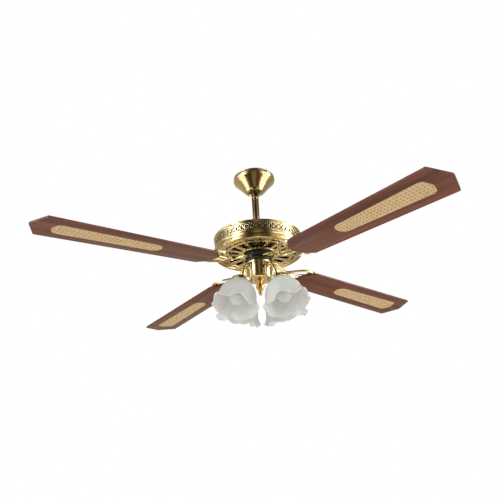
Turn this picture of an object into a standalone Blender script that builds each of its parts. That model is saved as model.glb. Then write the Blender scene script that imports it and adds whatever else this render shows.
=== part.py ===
"""A four-blade ceiling fan with a four-light kit, in metres, +Z up.

The origin is the middle of the hanger bracket's top face, which lies against the ceiling.
The hanger bracket and the canopy stay on the ceiling. The ball, the downrod, the housing and the
light kit hang from them. The motor's outer shell turns on the shaft with the irons and the blades.
"""

from math import asin, cos, pi, radians, sin, tau

import bmesh
import bpy
from mathutils import Matrix, Vector

# ---------------------------------------------------------------- driving dimensions
GAP = 0.0003  # between pieces that touch
BLADES = 4
LIGHTS = 4
BLADE_SPAN = 1.32  # tip to tip

BALL_R = 0.0205
BALL_PLAY = 0.0004
SCREW_R = 0.002
SCREW_Z = -0.008  # height of the canopy's screws
SHEET = 0.001  # wall of the pressed brass shells
CANOPY_R = 0.0672
CANOPY_H = 0.056
CANOPY_MOUTH_R = BALL_R + 0.0019
BRACKET_PLATE = 0.003
SEAT_R = BALL_R + BALL_PLAY
SEAT_LOW = radians(34)  # how far down the ball the bracket's ring reaches
BALL_Z = SEAT_R * sin(SEAT_LOW) + 0.0043 - CANOPY_H  # the ring clears the canopy by 4.3 mm

ROD_R = 0.011
ROD_WALL = 0.0015
ROD_BOTTOM_Z = -0.198
PIN_R = 0.0027
PIN_PLAY = 0.0003
COUPLING_R = ROD_R + 0.005
COUPLING_PIN_UP = 0.010  # from the rod's lower end to the coupling's pin

# Everything below the rod hangs from its lower end, in this order.
LID_Z = ROD_BOTTOM_Z
LID_HOLE_R = COUPLING_R + 0.0005
SHAFT_R = 0.0085
SHAFT_BORE_R = 0.005
STATOR_R = 0.0612
STATOR_H = 0.020
STATOR_TEETH = 12
AIR_GAP = 0.0006
CAGE = 0.0129  # radial thickness of the rotor cage
ROTOR_WALL = 0.003
ROTOR_R = STATOR_R + AIR_GAP + CAGE + GAP + ROTOR_WALL
MOTOR_HALF = 0.033
MOTOR_MID_Z = LID_Z - 0.008 - MOTOR_HALF
BEARING_R = SHAFT_R + 0.006
WINDING_R = 0.040
COIL_R = 0.0072

HOUSING_R = 0.1356
HOUSING_RIM_R = HOUSING_R - 0.0049  # where the lid fits inside the band
HOUSING_TOP_Z = LID_Z - 0.0215
HOUSING_BOTTOM_Z = MOTOR_MID_Z - MOTOR_HALF - 0.0055

FLYWHEEL_R = 0.0425
FLYWHEEL_BORE_R = 0.024
FLYWHEEL_H = 0.0172
FLYWHEEL_TOP_Z = MOTOR_MID_Z - MOTOR_HALF - GAP
FLYWHEEL_BOTTOM_Z = FLYWHEEL_TOP_Z - FLYWHEEL_H
VENT_SLOTS = 18
VENT_HOLE_R = FLYWHEEL_R + 0.0035
VENT_PLATE = 0.0015

IRON = 0.0035  # thickness of the blade irons
IRON_PAD_END = 0.058
IRON_BEND_END = 0.108
CLAMP_R = FLYWHEEL_R - 0.001
CLAMP_BORE_R = FLYWHEEL_BORE_R + 0.004
CLAMP_TOP_Z = FLYWHEEL_BOTTOM_Z - IRON - 2 * GAP
CLAMP_H = 0.0085
CLAMP_BOTTOM_Z = CLAMP_TOP_Z - CLAMP_H
BLADE = 0.0055  # thickness of the blades
BLADE_APEX_Z = FLYWHEEL_BOTTOM_Z - 0.0235  # where the four blade centre lines meet on the axis
BLADE_DROOP = radians(2.7)
BLADE_PITCH = radians(-5.3)
BLADE_ROOT_U = 0.159
BLADE_TIP_U = BLADE_SPAN / 2 / cos(BLADE_DROOP)
BLADE_ROOT_HALF = 0.054
BLADE_TIP_HALF = 0.0632
BLADE_TIP_POINT = 0.0253  # how far the point stands out past the shoulders
CANE_IN_U = BLADE_ROOT_U + 0.168
CANE_OUT_U = BLADE_TIP_U - 0.0497
CANE_IN_HALF = BLADE_ROOT_HALF - 0.030
CANE_OUT_HALF = BLADE_TIP_HALF - 0.0322
CANE_RECESS = 0.0011
CANE = 0.0008

SWITCH_CUP_R = 0.0405
SWITCH_CUP_H = 0.0555
SWITCH_CUP_TOP_Z = CLAMP_BOTTOM_Z - 0.0010
SHAFT_BOTTOM_Z = SWITCH_CUP_TOP_Z - 0.0080
SWITCH_CUP_BOTTOM_Z = SWITCH_CUP_TOP_Z - SWITCH_CUP_H
KNOB_TURN = radians(71)  # where the reverse switch looks out of the cup
KNOB_TRAVEL = 0.006
KNOB_Z = SWITCH_CUP_TOP_Z - 0.020
KNOB_W = 0.004
KNOB_H = 0.005
KNOB_OUT = 0.0028  # how far the knob stands out of the cup

LIGHT_TURN = radians(6)  # the lamp arms' turn from the blades at rest
LIGHT_TILT = radians(20)
ARM_R = 0.005
ARM_PLAY = 0.0006  # between an arm and its hole in the cup
ARM_REACH = 0.030  # how far the arm's bend reaches out of the cup
ARM_DROP = 0.020  # how far its lower bend reaches up from the socket
ARM_Z = SWITCH_CUP_TOP_Z - 0.0155
SHADE_L = 0.088
SHADE_NECK_R = 0.0275
SHADE_RIM_R = 0.065
RUFFLES = 6
RUFFLE_SWELL = 0.075  # how much of its radius the rim gains at each ruffle
RUFFLE_DIP = 0.007
SHADE_SPACE = 0.0044  # from a rim to the plane midway between two lamps
SHADE_RIM_OUT = (SHADE_RIM_R * (1 + RUFFLE_SWELL) + SHADE_SPACE) / sin(pi / LIGHTS)
SHADE_RIM_Z = SWITCH_CUP_BOTTOM_Z - 0.102
GLASS = 0.0025
SOCKET_R = 0.014
SOCKET_TOP = 0.018  # heights in a lamp are from the shade's neck
BULB_CAP_R = 0.0105
BULB_R = 0.021
BULB_Z = -0.056

FINIAL_R = 0.0135
FINIAL_H = 0.047
FINIAL_STUD_R = 0.0042


# ---------------------------------------------------------------- scene and helpers
for old in list(bpy.data.objects):
    bpy.data.objects.remove(old, do_unlink=True)

fan = bpy.data.collections.new("ceiling_fan_with_light")
cutters = bpy.data.collections.new("cutters")
bpy.context.scene.collection.children.link(fan)
bpy.context.scene.collection.children.link(cutters)


def material(name, color, roughness, metallic=0.0, transmission=0.0):
    made = bpy.data.materials.new(name)
    made.use_nodes = True
    shader = made.node_tree.nodes["Principled BSDF"]
    shader.inputs["Base Color"].default_value = (*color, 1.0)
    shader.inputs["Roughness"].default_value = roughness
    shader.inputs["Metallic"].default_value = metallic
    shader.inputs["Transmission Weight"].default_value = transmission
    made.diffuse_color = (*color, 1.0)
    return made


BRASS = material("brass", (0.78, 0.56, 0.22), 0.18, 1.0)
STEEL = material("steel", (0.55, 0.56, 0.58), 0.35, 1.0)
CAST = material("cast_aluminium", (0.62, 0.63, 0.65), 0.45, 1.0)
BLACK = material("black_plastic", (0.02, 0.02, 0.02), 0.4)
COPPER = material("winding_copper", (0.72, 0.33, 0.18), 0.35, 1.0)
WOOD = material("mahogany", (0.20, 0.07, 0.04), 0.35)
WEAVE = material("cane", (0.66, 0.47, 0.24), 0.6)
FROST = material("frosted_glass", (0.85, 0.86, 0.85), 0.5, 0.0, 0.4)
OPAL = material("opal_bulb", (0.95, 0.94, 0.90), 0.3)


def empty(name, location):
    made = bpy.data.objects.new(name, None)
    made.empty_display_size = 0.05
    made.location = location
    fan.objects.link(made)
    return made


# Each joint's pivot, on its axis.
ceiling_side = empty("ceiling_side", (0, 0, 0))
hanger_pivot = empty("hanger_pivot", (0, 0, BALL_Z))
rotor_axis = empty("rotor_axis", (0, 0, MOTOR_MID_Z))


def place(name, data, look, pivot, matrix=None):
    """Link an object, give it its material and its world matrix, and hang it on its pivot."""
    made = bpy.data.objects.new(name, data)
    fan.objects.link(made)
    data.materials.clear()
    data.materials.append(look)
    made.matrix_world = matrix or Matrix.Identity(4)
    if pivot:
        made.parent = pivot
        made.matrix_parent_inverse = Matrix.Translation(-pivot.location)
    return made


def shade_round(mesh):
    mesh.shade_smooth()
    mesh.set_sharp_from_angle(angle=radians(35))


def turned(name, profile, steps, look, pivot, wall=0.0, matrix=None, closed=False):
    """A profile of (radius, z) points, top to bottom on its outer side, turned about Z.

    With a wall the profile is a sheet's outer face, and closed joins its ends into a ring.
    """
    mesh = bpy.data.meshes.new(name)
    count = len(profile)
    edges = [(i, i + 1) for i in range(count - 1)]
    if closed:
        edges.append((count - 1, 0))
    mesh.from_pydata([(r, 0.0, z) for r, z in profile], edges, [])
    made = place(name, mesh, look, pivot, matrix)
    screw = made.modifiers.new("turn", "SCREW")
    screw.steps = screw.render_steps = steps
    screw.use_merge_vertices = True
    screw.merge_threshold = 0.00001
    screw.use_smooth_shade = True
    if wall:
        sheet = made.modifiers.new("wall", "SOLIDIFY")
        sheet.thickness = wall
        sheet.offset = -1
        sheet.use_even_offset = True
    return made


def ring(name, outer, inner, top, bottom, steps, look, pivot):
    """A plain turned ring between two radii and two heights."""
    corners = [(outer, top), (outer, bottom), (inner, bottom), (inner, top)]
    return turned(name, corners, steps, look, pivot, closed=True)


def cylinder_mesh(name, radius, length, steps, matrix=None):
    """A capped cylinder along Z, its middle at the origin before matrix moves it."""
    mesh = bpy.data.meshes.new(name)
    bm = bmesh.new()
    bmesh.ops.create_cone(
        bm, cap_ends=True, segments=steps, radius1=radius, radius2=radius, depth=length
    )
    bmesh.ops.transform(bm, matrix=matrix or Matrix.Identity(4), verts=bm.verts)
    bm.to_mesh(mesh)
    bm.free()
    shade_round(mesh)
    return mesh


def box_mesh(name, low, high):
    """A box between two corners."""
    low, high = Vector(low), Vector(high)
    mesh = bpy.data.meshes.new(name)
    bm = bmesh.new()
    size = Matrix.Diagonal((*(high - low), 1.0))
    bmesh.ops.create_cube(bm, size=1.0, matrix=Matrix.Translation((low + high) / 2) @ size)
    bm.to_mesh(mesh)
    bm.free()
    return mesh


def keep_as_tool(obj):
    """Move an object out of the fan, to the Boolean tools that aren't rendered."""
    fan.objects.unlink(obj)
    cutters.objects.link(obj)
    obj.hide_render = True
    obj.display_type = "WIRE"


def tool(name, mesh, matrix=None):
    made = place(name, mesh, STEEL, None, matrix)
    keep_as_tool(made)
    return made


def combine(target, other, operation):
    boolean = target.modifiers.new(other.name, "BOOLEAN")
    boolean.operation = operation
    boolean.object = other


def cut(target, name, mesh, matrix=None):
    combine(target, tool(name, mesh, matrix), "DIFFERENCE")


def add(target, name, mesh, matrix=None):
    combine(target, tool(name, mesh, matrix), "UNION")


def cross_hole(target, name, radius, axis, z, length):
    """A round hole straight through target, along X or Y at height z."""
    lie = Matrix.Rotation(pi / 2, 4, "Y" if axis == "X" else "X")
    cut(target, name, cylinder_mesh(name, radius, length, 12, Matrix.Translation((0, 0, z)) @ lie))


def evaluated_mesh(obj):
    """The object's mesh with its modifiers applied and its loose caps welded; obj is removed."""
    bpy.context.view_layer.update()
    graph = bpy.context.evaluated_depsgraph_get()
    mesh = bpy.data.meshes.new_from_object(obj.evaluated_get(graph))
    bm = bmesh.new()
    bm.from_mesh(mesh)
    bmesh.ops.remove_doubles(bm, verts=bm.verts, dist=0.000002)
    bmesh.ops.recalc_face_normals(bm, faces=bm.faces)
    bm.to_mesh(mesh)
    bm.free()
    bpy.data.objects.remove(obj, do_unlink=True)
    return mesh


def flat(name, outlines, thickness, smooth_steps=0):
    """A flat plate's mesh in the XY plane: the first outline's area less the others' areas.

    Outlines are POLY corners, or smooth Bezier loops with smooth_steps pieces from point to point.
    """
    curve = bpy.data.curves.new(name, "CURVE")
    curve.dimensions = "2D"
    curve.fill_mode = "BOTH"
    curve.extrude = thickness / 2
    for outline in outlines:
        spline = curve.splines.new("BEZIER" if smooth_steps else "POLY")
        points = spline.bezier_points if smooth_steps else spline.points
        points.add(len(outline) - 1)
        for point, (x, y) in zip(points, outline):
            point.co = (x, y, 0) if smooth_steps else (x, y, 0, 1)
            if smooth_steps:
                point.handle_left_type = point.handle_right_type = "AUTO"
        spline.use_cyclic_u = True
        spline.resolution_u = smooth_steps or 1
    return evaluated_mesh(place(name + "_outline", curve, STEEL, None))


def mirrored(half):
    """A closed outline from its +Y half, which starts and may end on the X axis."""
    return half + [(x, -y) for x, y in reversed(half) if y > 0]


def around(turn):
    return Matrix.Rotation(turn, 4, "Z")


def disc_points(radius, count):
    return [(radius * cos(tau * i / count), radius * sin(tau * i / count)) for i in range(count)]


# ---------------------------------------------------------------- hanger bracket and canopy
def hanger_bracket():
    """The ceiling plate with two straps down to an open ring that the ball sits in."""
    ring_r = SEAT_R + 0.0055
    strap_half, ear_half, ear_foot = 0.010, 0.006, SCREW_Z - 0.005
    seat = [
        (SEAT_R * cos(low * SEAT_LOW), BALL_Z - SEAT_R * sin(low * SEAT_LOW))
        for low in (1.0, 0.79, 0.56, 0.32)
    ]
    profile = [(ring_r, seat[-1][1]), (ring_r, seat[0][1]), *seat]
    steel_ring = turned("hanger_seat", profile, 24, STEEL, None, closed=True)
    keep_as_tool(steel_ring)

    plate_r = CANOPY_R - SHEET - GAP
    plate = cylinder_mesh(
        "ceiling_bracket", plate_r, BRACKET_PLATE, 28, Matrix.Translation((0, 0, -BRACKET_PLATE / 2))
    )
    bracket = place("ceiling_bracket", plate, STEEL, ceiling_side)
    for side, word in ((1, "right"), (-1, "left")):
        near, far = sorted((side * (ring_r - 0.003), side * ring_r))
        low, high = (near, -strap_half, seat[0][1] + 0.001), (far, strap_half, -BRACKET_PLATE / 2)
        add(bracket, "strap_" + word, box_mesh("strap_" + word, low, high))
        near, far = sorted((side * (plate_r - 0.0055), side * (plate_r - 0.004)))
        low, high = (-ear_half, near, ear_foot), (ear_half, far, -BRACKET_PLATE / 2)
        add(bracket, "ear_" + word, box_mesh("ear_" + word, low, high))
        slot = box_mesh("slot_" + word, (0.039, -0.003, -0.01), (0.051, 0.003, 0.01))
        cut(bracket, "slot_" + word, slot, around(0 if side > 0 else pi))
    combine(bracket, steel_ring, "UNION")
    # The ring is open on one side, so that the rod can be lifted in.
    entry_half = ROD_R + 0.0015
    low, high = (-entry_half, 0, seat[0][1] - 0.002), (entry_half, 2 * ring_r, seat[-1][1] + 0.002)
    cut(bracket, "entry", box_mesh("entry", low, high))
    cross_hole(bracket, "ear_holes", SCREW_R + GAP, "Y", SCREW_Z, 3 * CANOPY_R)


def canopy():
    """The pressed brass bell that covers the bracket, open at its mouth round the ball."""
    rim, mouth, spread = CANOPY_R, CANOPY_MOUTH_R, CANOPY_R - CANOPY_MOUTH_R
    profile = [
        (rim, -0.0005),
        (rim, -0.0115),
        (rim - 0.0035, -0.0145),
        (mouth + 0.540 * spread, -CANOPY_H + 0.0220),
        (mouth + 0.270 * spread, -CANOPY_H + 0.0070),
        (mouth + 0.150 * spread, -CANOPY_H + 0.0020),
        (mouth + 0.070 * spread, -CANOPY_H),
        (mouth, -CANOPY_H + 0.0015),
    ]
    bell = turned("canopy", profile, 28, BRASS, ceiling_side, wall=SHEET)
    cross_hole(bell, "canopy_holes", SCREW_R + GAP, "Y", SCREW_Z, 3 * CANOPY_R)
    head_r, shank_end = 2 * SCREW_R, CANOPY_R - 0.008
    profile = [
        (0.0, CANOPY_R + 0.0030),
        (0.7 * head_r, CANOPY_R + 0.0026),
        (head_r, CANOPY_R + 0.0012),
        (head_r, CANOPY_R + GAP),
        (SCREW_R, CANOPY_R + GAP),
        (SCREW_R, shank_end),
        (0.0, shank_end),
    ]
    for number, turn in ((1, 0), (2, pi)):
        lie = around(turn) @ Matrix.Translation((0, 0, SCREW_Z)) @ Matrix.Rotation(-pi / 2, 4, "X")
        turned(f"canopy_screw_{number}", profile, 12, BRASS, ceiling_side, matrix=lie)


# ---------------------------------------------------------------- ball, rod and coupling
def ball_and_rod():
    """The black ball, the cross pin and the downrod, which hang in the bracket's ring."""
    bore = ROD_R + GAP
    start = asin(bore / BALL_R)
    arc = [start + (pi - 2 * start) * i / 8 for i in range(9)]
    profile = [(BALL_R * sin(a), BALL_Z + BALL_R * cos(a)) for a in arc]
    ball = turned("hanger_ball", profile, 20, BLACK, hanger_pivot, closed=True)
    cross_hole(ball, "ball_hole", PIN_R + PIN_PLAY, "Y", BALL_Z, 0.1)

    lie = Matrix.Translation((0, 0, BALL_Z)) @ Matrix.Rotation(pi / 2, 4, "X")
    pin = cylinder_mesh("hanger_pin", PIN_R, 2 * BALL_R - 0.006, 16)
    place("hanger_pin", pin, STEEL, hanger_pivot, lie)

    rod = ring("downrod", ROD_R, ROD_R - ROD_WALL, BALL_Z + 0.014, ROD_BOTTOM_Z, 20, BRASS, hanger_pivot)
    cross_hole(rod, "rod_ball_hole", PIN_R + PIN_PLAY, "Y", BALL_Z, 0.1)
    cross_hole(rod, "rod_coupling_hole", PIN_R + PIN_PLAY, "X", ROD_BOTTOM_Z + COUPLING_PIN_UP, 0.1)


def coupling():
    """The steel coupling that joins rod and shaft, its cross pin, and the brass cover over it."""
    flange_z, flange_r = LID_Z - SHEET - GAP, COUPLING_R + 0.014
    profile = [
        (COUPLING_R, ROD_BOTTOM_Z + 0.0200),
        (COUPLING_R, flange_z),
        (flange_r, flange_z),
        (flange_r, flange_z - 0.0030),
        (SHAFT_R + 0.0035, flange_z - 0.0050),
        (SHAFT_R + GAP, flange_z - 0.0050),
        (SHAFT_R + GAP, ROD_BOTTOM_Z - GAP),
        (ROD_R + GAP, ROD_BOTTOM_Z - GAP),
        (ROD_R + GAP, ROD_BOTTOM_Z + 0.0200),
    ]
    sleeve = turned("motor_coupling", profile, 20, STEEL, hanger_pivot, closed=True)
    pin_z = ROD_BOTTOM_Z + COUPLING_PIN_UP
    cross_hole(sleeve, "coupling_hole", PIN_R + PIN_PLAY, "X", pin_z, 0.1)
    lie = Matrix.Translation((0, 0, pin_z)) @ Matrix.Rotation(pi / 2, 4, "Y")
    pin = cylinder_mesh("coupling_pin", PIN_R, 2 * COUPLING_R + 0.008, 16)
    place("coupling_pin", pin, STEEL, hanger_pivot, lie)

    foot = LID_Z + GAP
    profile = [
        (ROD_R + SHEET + GAP, foot + 0.0360),
        (ROD_R + 0.0045, foot + 0.0360),
        (COUPLING_R + 0.0100, foot + 0.0290),
        (COUPLING_R + 0.0165, foot + 0.0160),
        (COUPLING_R + 0.0185, foot),
    ]
    turned("coupling_cover", profile, 20, BRASS, hanger_pivot, wall=SHEET)


# ---------------------------------------------------------------- housing
def housing():
    """The brass lid, the pierced band with its lip and ledge, and the vented bottom plate."""
    rim_r = HOUSING_RIM_R
    crown, shoulder = LID_HOLE_R + 0.0335, rim_r - 0.0080
    lid = [
        (LID_HOLE_R, LID_Z),
        (crown, LID_Z - 0.0005),
        (crown + 0.55 * (shoulder - crown), LID_Z - 0.0055),
        (shoulder, HOUSING_TOP_Z + 0.0065),
        (rim_r, HOUSING_TOP_Z - 0.0005),
        (rim_r, HOUSING_TOP_Z - 0.0050),
    ]
    turned("housing_top", lid, 36, BRASS, hanger_pivot, wall=SHEET)

    r, top, bottom = HOUSING_R, HOUSING_TOP_Z, HOUSING_BOTTOM_Z
    band = [
        (rim_r + GAP, top),
        (r - 0.0010, top),
        (r, top - 0.0030),
        (r - 0.0028, top - 0.0060),
        (r - 0.0022, 0.526 * top + 0.474 * bottom),
        (r - 0.0030, 0.362 * top + 0.638 * bottom),
        (r - 0.0002, bottom + 0.0100),
        (r + 0.0008, bottom + 0.0050),
        (r - 0.0015, bottom + 0.0005),
        (r - 0.0080, bottom),
    ]
    turned("housing_band", band, 36, BRASS, hanger_pivot, wall=SHEET)

    outlines = [disc_points(r - 0.0046, 36), disc_points(VENT_HOLE_R, 24)]
    slot_in, slot_out = VENT_HOLE_R + 0.0160, r - 0.0376
    arc_in, arc_out = r - 0.0276, r - 0.0216
    for k in range(VENT_SLOTS):
        slot = ((slot_in, 0.24), (slot_in, -0.24), (slot_out, -0.31), (slot_out, 0.31))
        arc = [(arc_in, s / 8) for s in (-3, 0, 3)] + [(arc_out, s / 8) for s in (3, 0, -3)]
        for spread in (slot, arc):
            turns = [(rr, (k + s) * tau / VENT_SLOTS) for rr, s in spread]
            outlines.append([(rr * cos(turn), rr * sin(turn)) for rr, turn in turns])
    z = bottom + SHEET + GAP + VENT_PLATE / 2
    plate = flat("vent_plate", outlines, VENT_PLATE)
    place("vent_plate", plate, BRASS, hanger_pivot, Matrix.Translation((0, 0, z)))


# ---------------------------------------------------------------- motor
def motor():
    """The fixed shaft, stator and windings, and the two-part shell that turns round them."""
    shaft_top = ROD_BOTTOM_Z - 2 * GAP
    ring("motor_shaft", SHAFT_R, SHAFT_BORE_R, shaft_top, SHAFT_BOTTOM_Z, 20, STEEL, hanger_pivot)

    root_r = STATOR_R - 0.020
    star = []
    for k in range(STATOR_TEETH):
        for r, s in ((STATOR_R, -0.3), (STATOR_R, 0.3), (root_r, 0.3), (root_r, 0.7)):
            turn = (k + s) * tau / STATOR_TEETH
            star.append((r * cos(turn), r * sin(turn)))
    core = flat("stator_core", [star, disc_points(SHAFT_R + GAP, 20)], STATOR_H)
    place("stator_core", core, STEEL, hanger_pivot, Matrix.Translation((0, 0, MOTOR_MID_Z)))
    for word, side in (("upper", 1), ("lower", -1)):
        z = MOTOR_MID_Z + side * (STATOR_H / 2 + GAP + COIL_R)
        loop = [pi / 2 + tau * i / 8 for i in range(8)]
        profile = [(WINDING_R + COIL_R * sin(a), z + COIL_R * cos(a)) for a in loop]
        turned(f"{word}_winding", profile, 16, COPPER, hanger_pivot, closed=True)

        levels = [MOTOR_MID_Z + side * (MOTOR_HALF - d) for d in (0, 0.0015, 0.0075, 0.0042, 0.0035)]
        lid, shoulder, boss, inner_wall, inner_lid = levels
        split = MOTOR_MID_Z + side * GAP / 2
        half = [
            (BEARING_R + GAP, lid),
            (ROTOR_R - 0.0080, shoulder),
            (ROTOR_R, MOTOR_MID_Z + side * (MOTOR_HALF - 0.0080)),
            (ROTOR_R, split),
            (ROTOR_R - ROTOR_WALL, split),
            (ROTOR_R - ROTOR_WALL, MOTOR_MID_Z + side * (MOTOR_HALF - 0.0095)),
            (ROTOR_R - 0.0095, inner_wall - side * 0.0005),
            (BEARING_R + 0.0040, inner_lid),
            (BEARING_R + 0.0040, boss),
            (BEARING_R + GAP, boss),
        ]
        if side < 0:
            half.reverse()
        turned(f"rotor_shell_{word}", half, 24, CAST, rotor_axis, closed=True)
        high, low = max(lid, boss) - 0.0005, min(lid, boss) + 0.0005
        ring(f"{word}_bearing", BEARING_R, SHAFT_R + GAP, high, low, 20, STEEL, rotor_axis)
    cage_in, cage_out = STATOR_R + AIR_GAP, ROTOR_R - ROTOR_WALL - GAP
    half_h = STATOR_H / 2 + 0.003
    ring("rotor_cage", cage_out, cage_in, MOTOR_MID_Z + half_h, MOTOR_MID_Z - half_h, 24, STEEL, rotor_axis)
    sizes = (FLYWHEEL_R, FLYWHEEL_BORE_R, FLYWHEEL_TOP_Z, FLYWHEEL_BOTTOM_Z)
    ring("flywheel", *sizes, 32, BLACK, rotor_axis)


# ---------------------------------------------------------------- irons, blades and cane
def blade_plane(turn):
    """World matrix of a blade's own frame: X outward along it, Y across it, Z out of its top."""
    drop = Matrix.Translation((0, 0, BLADE_APEX_Z))
    lean = Matrix.Rotation(BLADE_DROOP, 4, "Y") @ Matrix.Rotation(BLADE_PITCH, 4, "X")
    return around(turn) @ drop @ lean


def iron_mesh():
    """An openwork iron: a pad under the flywheel, a bent neck, and a fan-shaped plate on the blade."""
    half = [
        (0.0270, 0.0000),
        (0.0285, 0.0110),
        (0.0340, 0.0150),
        (0.0430, 0.0150),
        (0.0560, 0.0095),
        (0.0850, 0.0085),
        (0.1050, 0.0140),
        (0.1220, 0.0300),
        (0.1400, 0.0440),
        (0.1620, 0.0530),
        (0.1850, 0.0500),
        (0.1960, 0.0410),
        (0.1870, 0.0340),
        (0.1920, 0.0220),
        (0.2160, 0.0150),
        (0.2360, 0.0080),
        (0.2400, 0.0000),
    ]
    side = [
        (0.1220, 0.0130),
        (0.1330, 0.0260),
        (0.1520, 0.0390),
        (0.1680, 0.0400),
        (0.1640, 0.0240),
        (0.1430, 0.0120),
    ]
    middle = mirrored([(0.1080, 0.0000), (0.1240, 0.0055), (0.1500, 0.0060), (0.1640, 0.0000)])
    outlines = [mirrored(half), side, [(x, -y) for x, y in side], middle]
    mesh = flat("blade_iron", outlines, IRON, smooth_steps=1)

    bm = bmesh.new()
    bm.from_mesh(mesh)
    folds = 4
    for k in range(folds + 1):
        x = IRON_PAD_END + (IRON_BEND_END - IRON_PAD_END) * k / folds
        every = list(bm.verts) + list(bm.edges) + list(bm.faces)
        bmesh.ops.bisect_plane(bm, geom=every, dist=0.00002, plane_co=(x, 0, 0), plane_no=(1, 0, 0))
    bmesh.ops.triangulate(bm, faces=bm.faces)
    on_blade = blade_plane(0) @ Matrix.Translation((0, 0, BLADE / 2 + GAP + IRON / 2))
    under_flywheel = Matrix.Translation((0, 0, FLYWHEEL_BOTTOM_Z - GAP - IRON / 2))
    for vert in bm.verts:
        along = (vert.co.x - IRON_PAD_END) / (IRON_BEND_END - IRON_PAD_END)
        along = min(max(along, 0.0), 1.0)
        share = along * along * (3 - 2 * along)
        vert.co = (under_flywheel @ vert.co).lerp(on_blade @ vert.co, share)
    bm.to_mesh(mesh)
    bm.free()
    return mesh


def cane_outline(inset):
    """The cane panel's edge: round towards the hub, three facets towards the tip."""
    a, b = CANE_IN_U + inset, CANE_OUT_U - inset
    narrow, wide = CANE_IN_HALF - inset, CANE_OUT_HALF - inset
    nose = [(a + narrow * (1 - cos(radians(t))), narrow * sin(radians(t))) for t in (0, 30, 60, 90)]
    return mirrored(nose + [(b - 0.0170, wide), (b - 0.0080, wide - 0.0050), (b, 0.0)])


def blades():
    """Four blades, each under its iron, with a cane panel let into its lower face.

    A black ring under the flywheel clamps the four irons' pads.
    """
    tip = BLADE_TIP_U
    half = [
        (BLADE_ROOT_U, 0.0),
        (BLADE_ROOT_U, 0.0210),
        (BLADE_ROOT_U + 0.0335, BLADE_ROOT_HALF),
        (tip - BLADE_TIP_POINT, BLADE_TIP_HALF),
        (tip, 0.0),
    ]
    wood = bpy.data.objects.new("blade_master", flat("blade", [mirrored(half)], BLADE))
    fan.objects.link(wood)
    recess = flat("cane_recess", [cane_outline(0.0)], 2 * CANE_RECESS)
    cut(wood, "cane_recess", recess, Matrix.Translation((0, 0, -BLADE / 2)))
    blade_mesh = evaluated_mesh(wood)
    cane_mesh = flat("cane_panel", [cane_outline(GAP)], CANE)
    in_recess = Matrix.Translation((0, 0, -BLADE / 2 + CANE_RECESS - GAP - CANE / 2))
    iron = iron_mesh()
    ring("clamp_ring", CLAMP_R, CLAMP_BORE_R, CLAMP_TOP_Z, CLAMP_BOTTOM_Z, 32, BLACK, rotor_axis)
    for k in range(BLADES):
        turn = tau * k / BLADES
        place(f"blade_iron_{k + 1}", iron, BRASS, rotor_axis, around(turn))
        place(f"blade_{k + 1}", blade_mesh, WOOD, rotor_axis, blade_plane(turn))
        place(f"cane_panel_{k + 1}", cane_mesh, WEAVE, rotor_axis, blade_plane(turn) @ in_recess)


# ---------------------------------------------------------------- switch cup
def switch_cup():
    """The brass cup under the motor with the reverse switch and the capacitor in it."""
    plate_top = SWITCH_CUP_TOP_Z - 0.0010
    inner = SWITCH_CUP_R - SHEET
    ring("switch_plate", inner - GAP, SHAFT_R + GAP, plate_top, plate_top - 0.0030, 28, STEEL, hanger_pivot)
    r, top, bottom = SWITCH_CUP_R, SWITCH_CUP_TOP_Z, SWITCH_CUP_BOTTOM_Z
    profile = [(r, top), (r, bottom + 0.0040), (r - 0.0035, bottom + 0.0005)]
    profile.append((FINIAL_STUD_R + GAP, bottom))
    cup = turned("switch_housing", profile, 28, BRASS, hanger_pivot, wall=SHEET)
    for k in range(LIGHTS):
        out = around(LIGHT_TURN + tau * k / LIGHTS) @ Matrix.Translation((SWITCH_CUP_R, 0, ARM_Z))
        name = f"arm_hole_{k + 1}"
        hole = cylinder_mesh(name, ARM_R + ARM_PLAY, 0.02, 16, Matrix.Rotation(pi / 2, 4, "Y"))
        cut(cup, name, hole, out)
    low = KNOB_Z - KNOB_TRAVEL - KNOB_H / 2 - GAP
    high = KNOB_Z + KNOB_H / 2 + GAP
    half_w = KNOB_W / 2 + GAP
    slot = box_mesh("knob_slot", (SWITCH_CUP_R - 0.006, -half_w, low), (SWITCH_CUP_R + 0.006, half_w, high))
    cut(cup, "knob_slot", slot, around(KNOB_TURN))

    front, back, body_half = SWITCH_CUP_R - 0.0055, SWITCH_CUP_R - 0.0175, half_w + 0.0037
    box = box_mesh("reverse_switch", (back, -body_half, low - 0.003), (front, body_half, high + 0.003))
    switch = place("reverse_switch", box, BLACK, hanger_pivot, around(KNOB_TURN))
    rail_in, rail_out = front - 0.002, inner - 0.0011
    for number, (near, far) in ((1, (half_w + 0.001, body_half)), (2, (-body_half, -half_w - 0.001))):
        rail = box_mesh(f"switch_rail_{number}", (rail_in, near, low), (rail_out, far, high))
        add(switch, f"switch_rail_{number}", rail, around(KNOB_TURN))
    knob = box_mesh(
        "reverse_switch_knob",
        (front + GAP, -KNOB_W / 2, KNOB_Z - KNOB_H / 2),
        (SWITCH_CUP_R + KNOB_OUT, KNOB_W / 2, KNOB_Z + KNOB_H / 2),
    )
    place("reverse_switch_knob", knob, BLACK, hanger_pivot, around(KNOB_TURN))

    floor = bottom + 0.0005 + SHEET + GAP
    can_in = FINIAL_STUD_R + 0.0023
    can = box_mesh("capacitor", (-can_in - 0.0235, -0.012, floor), (-can_in, 0.012, floor + 0.014))
    place("capacitor", can, BLACK, hanger_pivot, around(KNOB_TURN + pi / 8))

    finial()


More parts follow.
